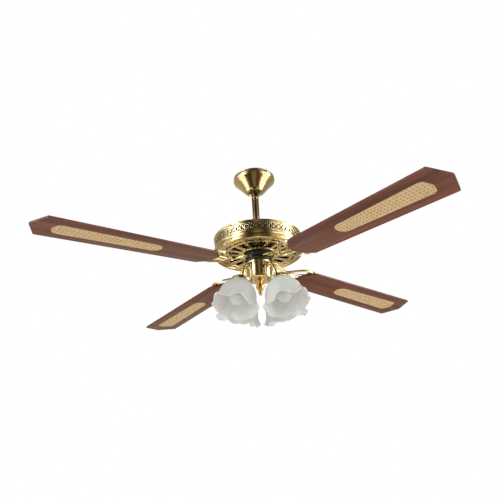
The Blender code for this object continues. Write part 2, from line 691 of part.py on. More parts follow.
def finial():
    """The turned knob that closes the cup, with a stud up through the cup's floor."""
    top, stud_top = SWITCH_CUP_BOTTOM_Z - GAP, SWITCH_CUP_BOTTOM_Z + 0.008
    share = [(1.0, 0.0), (1.0, 0.08), (0.76, 0.14), (0.76, 0.20), (1.0, 0.32), (0.86, 0.48)]
    share += [(0.60, 0.62), (0.42, 0.72), (0.40, 0.77), (0.50, 0.83), (0.48, 0.93)]
    profile = [(0.0, stud_top), (FINIAL_STUD_R, stud_top), (FINIAL_STUD_R, top)]
    profile += [(a * FINIAL_R, top - b * FINIAL_H) for a, b in share] + [(0.0, top - FINIAL_H)]
    turned("finial", profile, 16, BRASS, hanger_pivot)


# ---------------------------------------------------------------- light kit
def shade_mesh():
    """A tulip glass, hanging down its own -Z: straight neck, round belly, ruffled flared rim."""
    rows = [(0.00, SHADE_NECK_R), (0.09, SHADE_NECK_R), (0.22, 0.0365), (0.45, 0.0450)]
    rows += [(0.68, 0.0480), (0.86, 0.0560), (1.00, SHADE_RIM_R)]
    steps = 4 * RUFFLES
    bm = bmesh.new()
    chain = [bm.verts.new((r, 0, -share * SHADE_L)) for share, r in rows]
    links = [bm.edges.new(pair) for pair in zip(chain, chain[1:])]
    bmesh.ops.spin(
        bm, geom=chain + links, cent=(0, 0, 0), axis=(0, 0, 1), angle=tau, steps=steps, use_duplicate=False
    )
    bmesh.ops.remove_doubles(bm, verts=bm.verts, dist=0.00001)
    for vert in bm.verts:
        share = -vert.co.z / SHADE_L
        ruffle = max(share - 0.40, 0.0) / 0.60
        wave = cos(RUFFLES * Vector((1, 0)).angle_signed(vert.co.xy))
        stretch = 1 + RUFFLE_SWELL * ruffle**1.5 * wave
        vert.co = (vert.co.x * stretch, vert.co.y * stretch, vert.co.z + RUFFLE_DIP * ruffle**2 * wave)
    mesh = bpy.data.meshes.new("shade")
    bm.to_mesh(mesh)
    bm.free()
    shade_round(mesh)
    body = bpy.data.objects.new("shade_master", mesh)
    fan.objects.link(body)
    wall = body.modifiers.new("wall", "SOLIDIFY")
    wall.thickness = GLASS
    wall.offset = -1
    return evaluated_mesh(body)


def light_frame(turn):
    """World matrix of a lamp's own frame: origin at the shade's neck, -Z along the shade."""
    neck_r = SHADE_RIM_OUT - SHADE_L * sin(LIGHT_TILT)
    neck_z = SHADE_RIM_Z + SHADE_L * cos(LIGHT_TILT)
    return around(turn) @ Matrix.Translation((neck_r, 0, neck_z)) @ Matrix.Rotation(-LIGHT_TILT, 4, "Y")


def lamp_arm(name, turn):
    """A bent brass tube from inside the cup's wall to the top of its socket."""
    end = light_frame(0) @ Vector((0, 0, SOCKET_TOP + GAP))
    up = light_frame(0).to_3x3() @ Vector((0, 0, 1))
    start = Vector((SWITCH_CUP_R - 0.004, 0, ARM_Z))
    curve = bpy.data.curves.new(name, "CURVE")
    curve.dimensions = "3D"
    curve.bevel_depth = ARM_R
    curve.bevel_resolution = 1
    curve.use_fill_caps = True
    spline = curve.splines.new("BEZIER")
    spline.resolution_u = 8
    spline.bezier_points.add(1)
    for point, place_of, along in zip(
        spline.bezier_points, (start, end), (Vector((ARM_REACH, 0, 0)), up * -ARM_DROP)
    ):
        point.co, point.handle_left, point.handle_right = place_of, place_of - along, place_of + along
    place(name, curve, BRASS, hanger_pivot, around(turn))


def lights():
    """Four lamps: arm, socket with its shade holder, bulb and glass."""
    cup_r = SHADE_NECK_R + 0.0012
    holder = [
        (0.0, SOCKET_TOP),
        (0.0075, SOCKET_TOP),
        (0.0105, 0.0140),
        (cup_r - 0.0037, 0.0075),
        (cup_r + 0.0012, 0.0035),
        (cup_r + 0.0012, -0.0065),
        (cup_r, -0.0065),
        (cup_r, GAP),
        (SOCKET_R, GAP),
        (SOCKET_R, -0.0280),
        (BULB_CAP_R + GAP, -0.0280),
        (BULB_CAP_R + GAP, -0.0040),
        (0.0, -0.0040),
    ]
    globe = [radians(a) for a in (38, 62, 90, 118, 146, 168)]
    bulb = [(0.0, -0.0055), (0.0085, -0.0055), (BULB_CAP_R, -0.0075), (BULB_CAP_R, -0.0300)]
    bulb += [(BULB_R * sin(a), BULB_Z + BULB_R * cos(a)) for a in globe] + [(0.0, BULB_Z - BULB_R)]
    glass = shade_mesh()
    for k in range(LIGHTS):
        turn = LIGHT_TURN + tau * k / LIGHTS
        at = light_frame(turn)
        lamp_arm(f"lamp_arm_{k + 1}", turn)
        turned(f"lamp_socket_{k + 1}", holder, 16, BRASS, hanger_pivot, matrix=at)
        turned(f"bulb_{k + 1}", bulb, 12, OPAL, hanger_pivot, matrix=at)
        place(f"shade_{k + 1}", glass, FROST, hanger_pivot, at)


hanger_bracket()
canopy()
ball_and_rod()
coupling()
housing()
motor()
blades()
switch_cup()
lights()
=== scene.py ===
# %% [markdown]
# # A ceiling fan with four blades and four lamps
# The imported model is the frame: it says where each piece is and what it moves with. This script
# makes the surfaces round it. Metal, wood, cane and glass are modelled as thin real pieces, so
# that their edges catch the light the way the bought product's do.

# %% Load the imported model
from math import atan2, cos, pi, radians, sin, tau

import bmesh
import bpy
from mathutils import Matrix, Vector


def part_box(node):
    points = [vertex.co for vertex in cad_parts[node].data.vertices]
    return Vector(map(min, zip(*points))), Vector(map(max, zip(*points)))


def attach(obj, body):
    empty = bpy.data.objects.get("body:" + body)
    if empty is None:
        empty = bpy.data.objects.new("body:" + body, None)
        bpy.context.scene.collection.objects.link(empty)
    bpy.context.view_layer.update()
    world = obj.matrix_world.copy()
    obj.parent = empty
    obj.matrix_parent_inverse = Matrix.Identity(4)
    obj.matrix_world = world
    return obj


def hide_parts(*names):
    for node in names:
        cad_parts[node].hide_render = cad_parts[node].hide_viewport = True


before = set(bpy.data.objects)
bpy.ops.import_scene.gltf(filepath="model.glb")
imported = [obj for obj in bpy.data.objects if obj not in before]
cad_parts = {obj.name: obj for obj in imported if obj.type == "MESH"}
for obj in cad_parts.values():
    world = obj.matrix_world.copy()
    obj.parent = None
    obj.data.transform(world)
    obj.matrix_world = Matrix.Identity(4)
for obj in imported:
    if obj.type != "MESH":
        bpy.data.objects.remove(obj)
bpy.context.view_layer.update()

# %% [markdown]
# ## Sizes
# The heights and radii come from the frame's own boxes, so a piece stays on its CAD part. What a
# box can't say, such as a blade's droop and pitch, is a named value here.

# %% Read the sizes off the frame
GAP = 0.0003
SHEET = 0.001
BLADES = range(1, 5)
LAMPS = range(1, 5)


def top_of(node):
    """The height of a node's top."""
    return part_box(node)[1].z


def foot_of(node):
    """The height of a node's foot."""
    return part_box(node)[0].z


def radius_of(node):
    """The radius of a round node."""
    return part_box(node)[1].x


CANOPY_R = radius_of("canopy")
CANOPY_FOOT = foot_of("canopy")
MOUTH_R = 0.0224
BALL_R = radius_of("hanger_ball")
BALL_Z = (top_of("hanger_ball") + foot_of("hanger_ball")) / 2
ROD_R = radius_of("downrod")
LID_TOP = top_of("housing_top")
BAND_R = 0.1356
BAND_TOP, BAND_FOOT = top_of("housing_band"), foot_of("housing_band")
VENT_Z = (top_of("vent_plate") + foot_of("vent_plate")) / 2
VENT_R = radius_of("vent_plate")
FLYWHEEL_R = radius_of("flywheel")
FLYWHEEL_TOP, FLYWHEEL_FOOT = top_of("flywheel"), foot_of("flywheel")
CUP_R = radius_of("switch_housing")
CUP_TOP, CUP_FOOT = top_of("switch_housing"), foot_of("switch_housing")
FINIAL_FOOT = foot_of("finial")

BLADE_APEX_Z = -0.313
BLADE_DROOP = radians(2.7)
BLADE_PITCH = radians(-5.3)
BLADE = 0.0055
IRON = 0.0035
LIGHT_TURN = radians(6)
LIGHT_TILT = radians(20)
SHADE_L = 0.088
RIM_OUT = 0.10504  # a lamp's rim, from the fan's axis
RIM_Z = CUP_FOOT - 0.102
HALF_SPAN = 0.66
NECK_OUT = RIM_OUT - SHADE_L * sin(LIGHT_TILT)
NECK_Z = RIM_Z + SHADE_L * cos(LIGHT_TILT)
print("rod", round(ROD_R, 4), "band foot", round(BAND_FOOT, 4), "cup foot", round(CUP_FOOT, 4))

# %% [markdown]
# ## Node helpers
# A material is a small graph of nodes. These helpers add a node and wire it up in one line, so
# that each finish below reads as a list of what it is made of.


# %% Helpers for materials
def add_node(tree, kind, wired=None, **settings):
    """A node with its attributes set; wired gives sockets by name, as a link or as a value."""
    made = tree.nodes.new(kind)
    for key, value in settings.items():
        setattr(made, key, value)
    for name, value in (wired or {}).items():
        if isinstance(value, bpy.types.NodeSocket):
            tree.links.new(value, made.inputs[name])
        else:
            made.inputs[name].default_value = value
    return made


def new_group(name, inputs, outputs):
    """An empty shader group with named sockets, and its two end nodes."""
    tree = bpy.data.node_groups.new(name, "ShaderNodeTree")
    for label, kind, value in inputs:
        socket = tree.interface.new_socket(name=label, in_out="INPUT", socket_type=kind)
        socket.default_value = value
    for label, kind in outputs:
        tree.interface.new_socket(name=label, in_out="OUTPUT", socket_type=kind)
    return tree, tree.nodes.new("NodeGroupInput"), tree.nodes.new("NodeGroupOutput")


def ramp(tree, factor, stops, mode="LINEAR"):
    """A colour ramp through (position, colour) stops."""
    made = add_node(tree, "ShaderNodeValToRGB", {"Fac": factor})
    made.color_ramp.interpolation = mode
    while len(made.color_ramp.elements) < len(stops):
        made.color_ramp.elements.new(0.5)
    for element, (position, color) in zip(made.color_ramp.elements, stops):
        element.position = position
        element.color = (*color, 1.0)
    return made.outputs["Color"]


def mixed(tree, factor, first, second, blend="MIX"):
    """Two colours blended by a factor."""
    made = tree.nodes.new("ShaderNodeMix")
    made.data_type = "RGBA"
    made.blend_type = blend
    for index, value in ((0, factor), (6, first), (7, second)):
        if isinstance(value, bpy.types.NodeSocket):
            tree.links.new(value, made.inputs[index])
        elif index:
            made.inputs[index].default_value = (*value, 1.0)
        else:
            made.inputs[index].default_value = value
    return made.outputs[2]


def scaled(tree, value, low, high):
    """A mask from 0 to 1 turned into a value from low to high."""
    made = add_node(tree, "ShaderNodeMapRange", {"Value": value, "To Min": low, "To Max": high})
    return made.outputs["Result"]


def math(tree, kind, first, second=None):
    """A sum, product or other function of one or two values."""
    wired = {0: first} if second is None else {0: first, 1: second}
    return add_node(tree, "ShaderNodeMath", wired, operation=kind).outputs[0]


def use_group(tree, group, **values):
    """A group node with its sockets linked or set."""
    made = tree.nodes.new("ShaderNodeGroup")
    made.node_tree = group
    for label, value in values.items():
        socket = made.inputs[label.replace("_", " ")]
        if isinstance(value, bpy.types.NodeSocket):
            tree.links.new(value, socket)
        else:
            socket.default_value = value
    return made.outputs


def new_finish(name, **settings):
    """A material and its Principled shader, with the plain values set on its own sockets."""
    made = bpy.data.materials.new(name)
    made.use_nodes = True
    shader = made.node_tree.nodes["Principled BSDF"]
    for label, value in settings.items():
        shader.inputs[label.replace("_", " ")].default_value = value
    return made, made.node_tree, shader


# %% [markdown]
# ## Effects that several finishes share
# Handling leaves metal and plastic slightly uneven: soft clouds where lacquer is thicker, and fine
# dust. One group makes the clouds, another the shallow ripples of pressed or moulded surfaces.
# Both are placed in each material with its own scale.


# %% Cloudy surface group
def make_clouds():
    """Soft clouds and small specks, as masks."""
    tree, given, out = new_group(
        "Cloudy surface",
        [("Scale", "NodeSocketFloat", 30.0), ("Speck Scale", "NodeSocketFloat", 400.0)],
        [("Clouds", "NodeSocketFloat"), ("Specks", "NodeSocketFloat")],
    )
    place = add_node(tree, "ShaderNodeTexCoord").outputs["Object"]
    clouds = add_node(
        tree, "ShaderNodeTexNoise",
        {"Vector": place, "Scale": given.outputs["Scale"], "Detail": 5.0, "Roughness": 0.6},
    )
    specks = add_node(
        tree, "ShaderNodeTexNoise",
        {"Vector": place, "Scale": given.outputs["Speck Scale"], "Detail": 2.0},
    )
    spread = add_node(
        tree, "ShaderNodeMapRange", {"Value": clouds.outputs["Fac"], "From Min": 0.3, "From Max": 0.7},
    )
    sharp = add_node(
        tree, "ShaderNodeMapRange", {"Value": specks.outputs["Fac"], "From Min": 0.6, "From Max": 0.75},
    )
    tree.links.new(spread.outputs["Result"], out.inputs["Clouds"])
    tree.links.new(sharp.outputs["Result"], out.inputs["Specks"])
    return tree


CLOUDS = make_clouds()


# %% Pressed surface group
def make_ripples():
    """A normal bent by slow waves."""
    tree, given, out = new_group(
        "Pressed surface", [("Scale", "NodeSocketFloat", 25.0), ("Depth", "NodeSocketFloat", 0.0004)],
        [("Normal", "NodeSocketVector")],
    )
    place = add_node(tree, "ShaderNodeTexCoord").outputs["Object"]
    waves = add_node(
        tree, "ShaderNodeTexNoise", {"Vector": place, "Scale": given.outputs["Scale"], "Detail": 1.5},
    )
    bump = add_node(
        tree, "ShaderNodeBump", {"Height": waves.outputs["Fac"], "Distance": given.outputs["Depth"]},
    )
    tree.links.new(bump.outputs["Normal"], out.inputs["Normal"])
    return tree


RIPPLES = make_ripples()

# %% [markdown]
# ## Finishes
# Polished brass is a metal whose colour comes from its reflections, so it needs a warm base, a
# low roughness and something to mirror. Lacquer clouds vary the roughness a little, and faint
# ripples break up the reflections as on real spun sheet.


# %% Metals and mouldings
def make_finish(name, base, deep, grain, rough, specks=None, ripples=None, blend=None, **settings):
    """Cloudy colour and roughness, with specks of dirt and a rippled face where they are given."""
    made, tree, shader = new_finish(name, **settings)
    clouds = use_group(tree, CLOUDS, Scale=grain[0], Speck_Scale=grain[1])
    share = scaled(tree, clouds["Clouds"], 0.0, blend) if blend else clouds["Clouds"]
    tone = mixed(tree, share, base, deep)
    if specks:
        tone = mixed(tree, scaled(tree, clouds["Specks"], 0.0, specks[0]), tone, specks[1])
    tree.links.new(tone, shader.inputs["Base Color"])
    tree.links.new(scaled(tree, clouds["Clouds"], *rough), shader.inputs["Roughness"])
    if ripples:
        pressed = use_group(tree, RIPPLES, Scale=ripples[0], Depth=ripples[1])
        tree.links.new(pressed["Normal"], shader.inputs["Normal"])
    return made


def make_brass(name, base, deep, rough):
    """Lacquered brass: the same sheet in several tones."""
    return make_finish(
        name, base, deep, (38.0, 520.0), (rough, rough + 0.09), (0.18, (0.30, 0.17, 0.05)),
        (55.0, 0.00025), 0.55, Metallic=1.0, Coat_Weight=0.25, Coat_Roughness=0.06,
    )


def make_metal(name, base, deep, rough, ripple):
    """Plain metal, with the grain of its casting or rolling."""
    return make_finish(
        name, base, deep, (60.0, 900.0), (rough, rough + 0.15), (0.4, (0.12, 0.11, 0.10)),
        (ripple, 0.0004), Metallic=1.0,
    )


BRASS = make_brass("Polished brass", (0.80, 0.67, 0.39), (0.68, 0.53, 0.27), 0.10)
ROD_BRASS = make_brass("Toned brass", (0.64, 0.47, 0.31), (0.52, 0.37, 0.23), 0.16)
# painted reflection: the finial's brass is tinted deep amber to stand in for the warm light it reflects
BRASS_WITH_PAINTED_REFLECTION = make_brass("Brass tinted as warm reflection", (0.88, 0.56, 0.20), (0.72, 0.40, 0.10), 0.10)
ZINC = make_metal("Zinc plated steel", (0.62, 0.62, 0.60), (0.50, 0.50, 0.47), 0.30, 300.0)
# painted shade: the aluminium rotor shells are darkened to near black, so the motor seen through the vent
# slots reads as in shade
CASTING_IN_PAINTED_SHADE = make_metal("Cast aluminium darkened for shade", (0.10, 0.09, 0.08), (0.06, 0.055, 0.05), 0.55, 700.0)
LAMINATE = make_metal("Laminated steel", (0.30, 0.30, 0.32), (0.20, 0.19, 0.19), 0.45, 500.0)
COPPER = make_metal("Enamelled copper", (0.62, 0.25, 0.11), (0.45, 0.15, 0.06), 0.30, 900.0)
BLACK = make_finish(
    "Black moulding", (0.012, 0.012, 0.013), (0.028, 0.027, 0.026), (45.0, 700.0), (0.28, 0.5),
    (0.25, (0.14, 0.13, 0.12)), (900.0, 0.0002),
)
print("metals and mouldings:", len(bpy.data.materials))

# %% [markdown]
# ### Mahogany veneer
# Veneer shows long, nearly straight grain: dark lines from the growth rings, a slow change of
# tone across the leaf, and short pores. Each blade is modelled along its own X axis, so noise
# stretched along X runs with the blade. A random number for each object shifts the leaf, and no
# two blades show the same figure.


# %% Mahogany
def make_mahogany():
    """Broad bands, growth lines and pores, all stretched along the leaf."""
    made, tree, shader = new_finish(
        "Mahogany veneer", Specular_IOR_Level=0.3, Coat_Weight=0.08, Coat_Roughness=0.3,
    )
    place = add_node(tree, "ShaderNodeTexCoord").outputs["Object"]
    luck = add_node(tree, "ShaderNodeObjectInfo").outputs["Random"]
    shift = add_node(tree, "ShaderNodeCombineXYZ", {"X": math(tree, "MULTIPLY", luck, 7.0), "Y": luck})
    moved = add_node(tree, "ShaderNodeVectorMath", {0: place, 1: shift.outputs[0]}, operation="ADD")
    drift = add_node(tree, "ShaderNodeTexNoise", {"Vector": moved.outputs[0], "Scale": 3.0, "Detail": 2.0})
    sway = add_node(
        tree, "ShaderNodeVectorMath", {0: drift.outputs["Color"], 1: (0.03, 0.03, 0.0)},
        operation="MULTIPLY",
    )
    along = add_node(
        tree, "ShaderNodeVectorMath", {0: moved.outputs[0], 1: sway.outputs[0]}, operation="ADD",
    )

    def streaks(stretch, detail, rough):
        fit = add_node(tree, "ShaderNodeMapping", {"Vector": along.outputs[0], "Scale": stretch})
        noise = {"Vector": fit.outputs["Vector"], "Scale": 1.0, "Detail": detail, "Roughness": rough}
        return add_node(tree, "ShaderNodeTexNoise", noise).outputs["Fac"]

    broad = streaks((1.5, 30.0, 30.0), 3.0, 0.5)
    lines = streaks((5.0, 260.0, 60.0), 5.0, 0.65)
    pores = streaks((45.0, 1500.0, 300.0), 2.0, 0.5)
    tone = ramp(
        tree, broad,
        [(0.30, (0.100, 0.028, 0.017)), (0.50, (0.165, 0.047, 0.028)), (0.72, (0.225, 0.072, 0.042))],
    )
    dark = ramp(tree, lines, [(0.40, (1.0, 1.0, 1.0)), (0.62, (0.52, 0.44, 0.42))])
    tone = mixed(tree, 0.85, tone, dark, "MULTIPLY")
    pore_mask = add_node(tree, "ShaderNodeMapRange", {"Value": pores, "From Min": 0.60, "From Max": 0.72})
    tone = mixed(tree, scaled(tree, pore_mask.outputs["Result"], 0.0, 0.6), tone, (0.035, 0.014, 0.010))
    tree.links.new(tone, shader.inputs["Base Color"])
    tree.links.new(scaled(tree, lines, 0.30, 0.46), shader.inputs["Roughness"])
    depth = math(tree, "SUBTRACT", lines, pore_mask.outputs["Result"])
    bump = add_node(tree, "ShaderNodeBump", {"Height": depth, "Distance": 0.00006, "Strength": 0.6})
    tree.links.new(bump.outputs["Normal"], shader.inputs["Normal"])
    return made


MAHOGANY = make_mahogany()


# %% Cane, and the dark board behind it
CANE = make_finish(
    "Split cane", (0.70, 0.50, 0.28), (0.58, 0.39, 0.19), (70.0, 650.0), (0.38, 0.60),
    (0.35, (0.30, 0.17, 0.07)), (800.0, 0.0003),
)
BOARD = make_finish("Cane backing", (0.40, 0.28, 0.13), (0.32, 0.21, 0.09), (50.0, 600.0), (0.70, 0.80))

# %% [markdown]
# ### Frosted and opal glass
# Frosted glass scatters the light that goes through it: a transmissive material with a high
# roughness. A slight milkiness comes from clouds in its colour. The opal bulb is nearly opaque.
# Both glasses carry a faint painted glow: an emission that stands in for scattered studio light.


# %% Glass
PAINTED_GLOW = (0.78, 0.80, 0.78, 1.0)  # painted glow: an emission that stands in for studio light scattered in the milky glass
FROSTED = make_finish(
    "Frosted glass", (0.66, 0.69, 0.66), (0.60, 0.625, 0.61), (22.0, 420.0), (0.52, 0.66),
    ripples=(120.0, 0.0006), Transmission_Weight=0.35, IOR=1.3, Subsurface_Weight=0.3,
    Subsurface_Scale=0.01, Emission_Color=PAINTED_GLOW, Emission_Strength=0.11,
)
# The opal bulbs carry the same painted glow, though they are not lit.
OPAL = make_finish(
    "Opal glass", (0.66, 0.685, 0.655), (0.61, 0.63, 0.60), (30.0, 500.0), (0.45, 0.55),
    Transmission_Weight=0.4, Specular_IOR_Level=0.1, Emission_Color=PAINTED_GLOW, Emission_Strength=0.10,
)
STILL = Matrix.Identity(4)
SLOTS = {BRASS: "polished_brass", ROD_BRASS: "polished_brass", BRASS_WITH_PAINTED_REFLECTION: "polished_brass"}
SLOTS |= {BLACK: "black_moulding", MAHOGANY: "mahogany_veneer", CANE: "woven_cane"}
SLOTS |= {BOARD: "woven_cane", FROSTED: "frosted_glass", OPAL: "opal_glass"}

# %% [markdown]
# ## Shape helpers
# Most of the fan is turned: a profile spun about an axis. Sheet parts get their second skin by
# offsetting the profile by the sheet's thickness, and every corner gets a small round, because a
# sharp edge never catches light.


# %% Profiles
def rounded(corners, radius, closed=False, parts=4):
    """The polyline with each corner eased by a curve that starts up to radius before it."""
    made = []
    for i, corner in enumerate(corners):
        if not closed and i in (0, len(corners) - 1):
            made.append(tuple(corner))
            continue
        here = Vector(corner)
        back, ahead = Vector(corners[i - 1]) - here, Vector(corners[(i + 1) % len(corners)]) - here
        start = here + back.normalized() * min(radius, back.length * 0.49)
        end = here + ahead.normalized() * min(radius, ahead.length * 0.49)
        for k in range(parts + 1):
            t = k / parts
            made.append(tuple((1 - t) ** 2 * start + 2 * t * (1 - t) * here + t * t * end))
    return made


def tenths(r, z, *steps):
    """Points given in tenths of a millimetre outward and upward from (r, z)."""
    return [(r + out * 1e-4, z + up * 1e-4) for out, up in steps]


def with_wall(profile, wall):
    """A closed loop: the outer face, top to bottom, and the same face moved in by the wall."""
    inner = []
    for i, point in enumerate(profile):
        before, after = Vector(profile[max(i - 1, 0)]), Vector(profile[min(i + 1, len(profile) - 1)])
        run = (after - before).normalized()
        inner.append((point[0] + run.y * wall, point[1] - run.x * wall))
    return list(profile) + inner[::-1]


def smooth(mesh, angle=38):
    """Smooth shading, with an edge kept sharp where two faces meet at more than the angle."""
    mesh.shade_smooth()
    mesh.set_sharp_from_angle(angle=radians(angle))
    return mesh


def saved(bm, name, angle=38, outward=False):
    """Ends the work on a mesh; name is a new mesh's name, or the mesh to write back to."""
    if outward:
        bmesh.ops.recalc_face_normals(bm, faces=bm.faces)
    mesh = bpy.data.meshes.new(name) if isinstance(name, str) else name
    bm.to_mesh(mesh)
    bm.free()
    return smooth(mesh, angle)


def opened(mesh):
    """A mesh opened for editing."""
    bm = bmesh.new()
    bm.from_mesh(mesh)
    return bm


def skin(bm, rings, caps=False):
    """Faces between neighbouring rings of points, and over the two ends."""
    for one, two in zip(rings, rings[1:]):
        for k in range(len(one)):
            after = (k + 1) % len(one)
            bm.faces.new((one[k], one[after], two[after], two[k]))
    if caps:
        bm.faces.new(rings[0][::-1])
        bm.faces.new(rings[-1])


# %% Turned bodies
def spin_mesh(name, profile, steps=96, closed=True):
    """A mesh spun about Z from (radius, z) points; closed joins the profile's ends."""
    bm = bmesh.new()
    chain = [bm.verts.new((max(r, 0.0), 0, z)) for r, z in profile]
    links = [bm.edges.new(pair) for pair in zip(chain, chain[1:])]
    if closed:
        links.append(bm.edges.new((chain[-1], chain[0])))
    bmesh.ops.spin(
        bm, geom=chain + links, cent=(0, 0, 0), axis=(0, 0, 1), angle=tau, steps=steps,
        use_duplicate=False,
    )
    bmesh.ops.remove_doubles(bm, verts=bm.verts, dist=0.000004)
    return saved(bm, name, outward=True)


def put(name, mesh, finish, body, matrix=None, stands_for=()):
    """A finished piece: its material, its place, the body it moves with and what it stands for."""
    made = bpy.data.objects.new(name, mesh)
    bpy.context.scene.collection.objects.link(made)
    if not mesh.materials:
        mesh.materials.append(finish)
    made.matrix_world = matrix or STILL
    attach(made, body)
    if stands_for:
        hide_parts(*stands_for)
    return made


def joined(name, meshes):
    """Several meshes, each with a matrix, as one mesh."""
    bm = bmesh.new()
    for mesh, matrix in meshes:
        count = len(bm.verts)
        bm.from_mesh(mesh)
        bm.verts.ensure_lookup_table()
        bmesh.ops.transform(bm, matrix=matrix, verts=bm.verts[count:])
    return saved(bm, name)


def around(turn):
    """A turn about the fan's axis."""
    return Matrix.Rotation(turn, 4, "Z")


def shift(x, y, z):
    """A move by x, y and z."""
    return Matrix.Translation((x, y, z))


def put_sheet(name, corners, ease, wall, steps, stands_for=()):
    """A spun brass sheet with eased corners, on the hanging frame."""
    mesh = spin_mesh(name, with_wall(rounded(corners, ease), wall), steps)
    return put(name, mesh, BRASS, "hanging_frame", stands_for=stands_for)


# %% [markdown]
# ## Canopy, ball and rod
# The canopy is a spun brass bell with a rolled rim and a bead where the straight band meets the
# cone. Its mouth turns back inward round the black ball, and the rod hangs from the ball.


# %% Canopy
def canopy_profile():
    """The bell from its top edge down and back into its mouth."""
    r, foot = CANOPY_R, CANOPY_FOOT
    corners = tenths(
        r, 0, (-42, -5), (-34, -18), (0, -100), (-8, -125), (-34, -138), (-40, -158), (-125, -240),
        (-210, -340),
    )
    corners += tenths(MOUTH_R, foot, (121, 72), (71, 26), (36, 4), (12, 0), (0, 18), (4, 40))
    return with_wall(rounded(corners, 0.0016), SHEET * 0.8)


put(
    "canopy_bell", spin_mesh("canopy_bell", canopy_profile(), 128), BRASS, "ceiling_mount",
    stands_for=["canopy"],
)


# %% Canopy screws
def screw_mesh(name, radius, height, shank, length):
    """A dome-headed screw along Z, its head's seat at the origin, with a cross slot."""
    corners = [(0.0, height), (radius * 0.55, height * 0.93), (radius, height * 0.35), (radius, 0.0)]
    corners += [(shank, 0.0), (shank, -length), (0.0, -length)]
    head = spin_mesh(name, rounded(corners, radius * 0.25), 28, closed=False)
    bm = opened(head)
    for turn in (0, pi / 2):
        for side in (1, -1):
            plane = around(turn) @ Vector((side * radius * 0.13, 0, 0))
            every = list(bm.verts) + list(bm.edges) + list(bm.faces)
            bmesh.ops.bisect_plane(
                bm, geom=every, dist=1e-6, plane_co=plane, plane_no=around(turn) @ Vector((1, 0, 0)),
            )
    for vert in bm.verts:
        in_slot = min(abs(vert.co.x), abs(vert.co.y)) < radius * 0.125
        if vert.co.z > height * 0.4 and in_slot:
            vert.co.z -= height * 0.35
    return saved(bm, head)


canopy_screw = screw_mesh("canopy_screw", 0.0040, 0.0026, 0.0019, 0.0080)
for number, side in ((1, 1), (2, -1)):
    seat = around(0 if side > 0 else pi) @ shift(
        0, CANOPY_R + GAP, -0.008,
    ) @ Matrix.Rotation(-pi / 2, 4, "X")
    name = f"canopy_screw_{number}"
    put(name + "_head", canopy_screw, BRASS, "ceiling_mount", seat, [name])

# %% Ball and rod
bore = ROD_R + GAP
lowest = atan2(bore, (BALL_R**2 - bore**2) ** 0.5)
angles = [lowest + (pi - 2 * lowest) * i / 40 for i in range(41)]
ball_profile = [(BALL_R * sin(a), BALL_Z + BALL_R * cos(a)) for a in angles]
put("ball", spin_mesh("ball", ball_profile, 64), BLACK, "hanging_frame", stands_for=["hanger_ball"])
rod_corners = [
    (ROD_R - 0.0004, top_of("downrod")), (ROD_R, top_of("downrod") - 0.0006),
    (ROD_R, foot_of("downrod")),
]
put(
    "rod", spin_mesh("rod", with_wall(rod_corners, 0.0015), 64), ROD_BRASS, "hanging_frame",
    stands_for=["downrod"],
)
cover_foot = foot_of("coupling_cover")
cover_corners = tenths(ROD_R, cover_foot, (16, 360), (40, 360), (48, 335), (40, 315))
cover_corners += tenths(0, cover_foot, (240, 290), (312, 180), (328, 45), (344, 30), (344, 0))
put_sheet("rod_cover", cover_corners, 0.0030, SHEET * 0.8, 80, ["coupling_cover"])

# %% [markdown]
# ## Housing
# The housing is three rings of pressed brass. A rolled lip goes round the top, a pierced lattice
# band is let in below it, and the skirt curves in and out again to a double ledge. The lattice is
# drawn flat as one long strip with holes, given rounded edges, and then rolled up into a ring,
# which is also how such a band is made.

# %% Lid and lip
rim_r = BAND_R - 0.0049
lid_corners = tenths(0, LID_TOP, (165, 0), (480, -4), (560, -12), (580, -26), (900, -60))
lid_corners += tenths(rim_r, BAND_TOP, (-90, 62), (-15, 12), (0, -10))
lid_corners.append((rim_r, foot_of("housing_top")))
put_sheet("lid", lid_corners, 0.0040, SHEET, 128, ["housing_top"])
BAND_HIGH = BAND_TOP - 0.0058
BAND_LOW = BAND_TOP - 0.0350
lip_corners = [(rim_r + GAP, BAND_TOP - 0.0004)]
lip_corners += tenths(BAND_R, BAND_TOP, (-22, 0), (-2, -10), (0, -30), (-8, -46))
lip_corners += tenths(BAND_R, BAND_HIGH, (-24, 4), (-30, -8))
put_sheet("housing_lip", lip_corners, 0.0014, SHEET * 0.8, 160)
skirt_corners = tenths(BAND_R, BAND_LOW, (-30, 10), (-16, 2), (-16, -12), (-34, -22), (-46, -70))
skirt_corners += tenths(
    BAND_R, BAND_FOOT, (-24, 122), (0, 102), (4, 82), (-14, 70), (6, 58), (8, 36), (-10, 12), (-45, 0),
    (-80, 1),
)
put_sheet("housing_skirt", skirt_corners, 0.0016, SHEET * 0.8, 160, ["housing_band"])


# %% A hole cut by another mesh
def cut_out(mesh, cutter_mesh, place):
    """The mesh less the cutter, which stands at place."""
    body = bpy.data.objects.new("body", mesh)
    cutter = bpy.data.objects.new("cutter", cutter_mesh)
    cutter.matrix_world = place
    for made in (body, cutter):
        bpy.context.scene.collection.objects.link(made)
    cut = body.modifiers.new("cut", "BOOLEAN")
    cut.operation = "DIFFERENCE"
    cut.object = cutter
    bpy.context.view_layer.update()
    graph = bpy.context.evaluated_depsgraph_get()
    result = bpy.data.meshes.new_from_object(body.evaluated_get(graph))
    for made in (body, cutter):
        bpy.data.objects.remove(made, do_unlink=True)
    result.materials.clear()
    return smooth(result, 30)


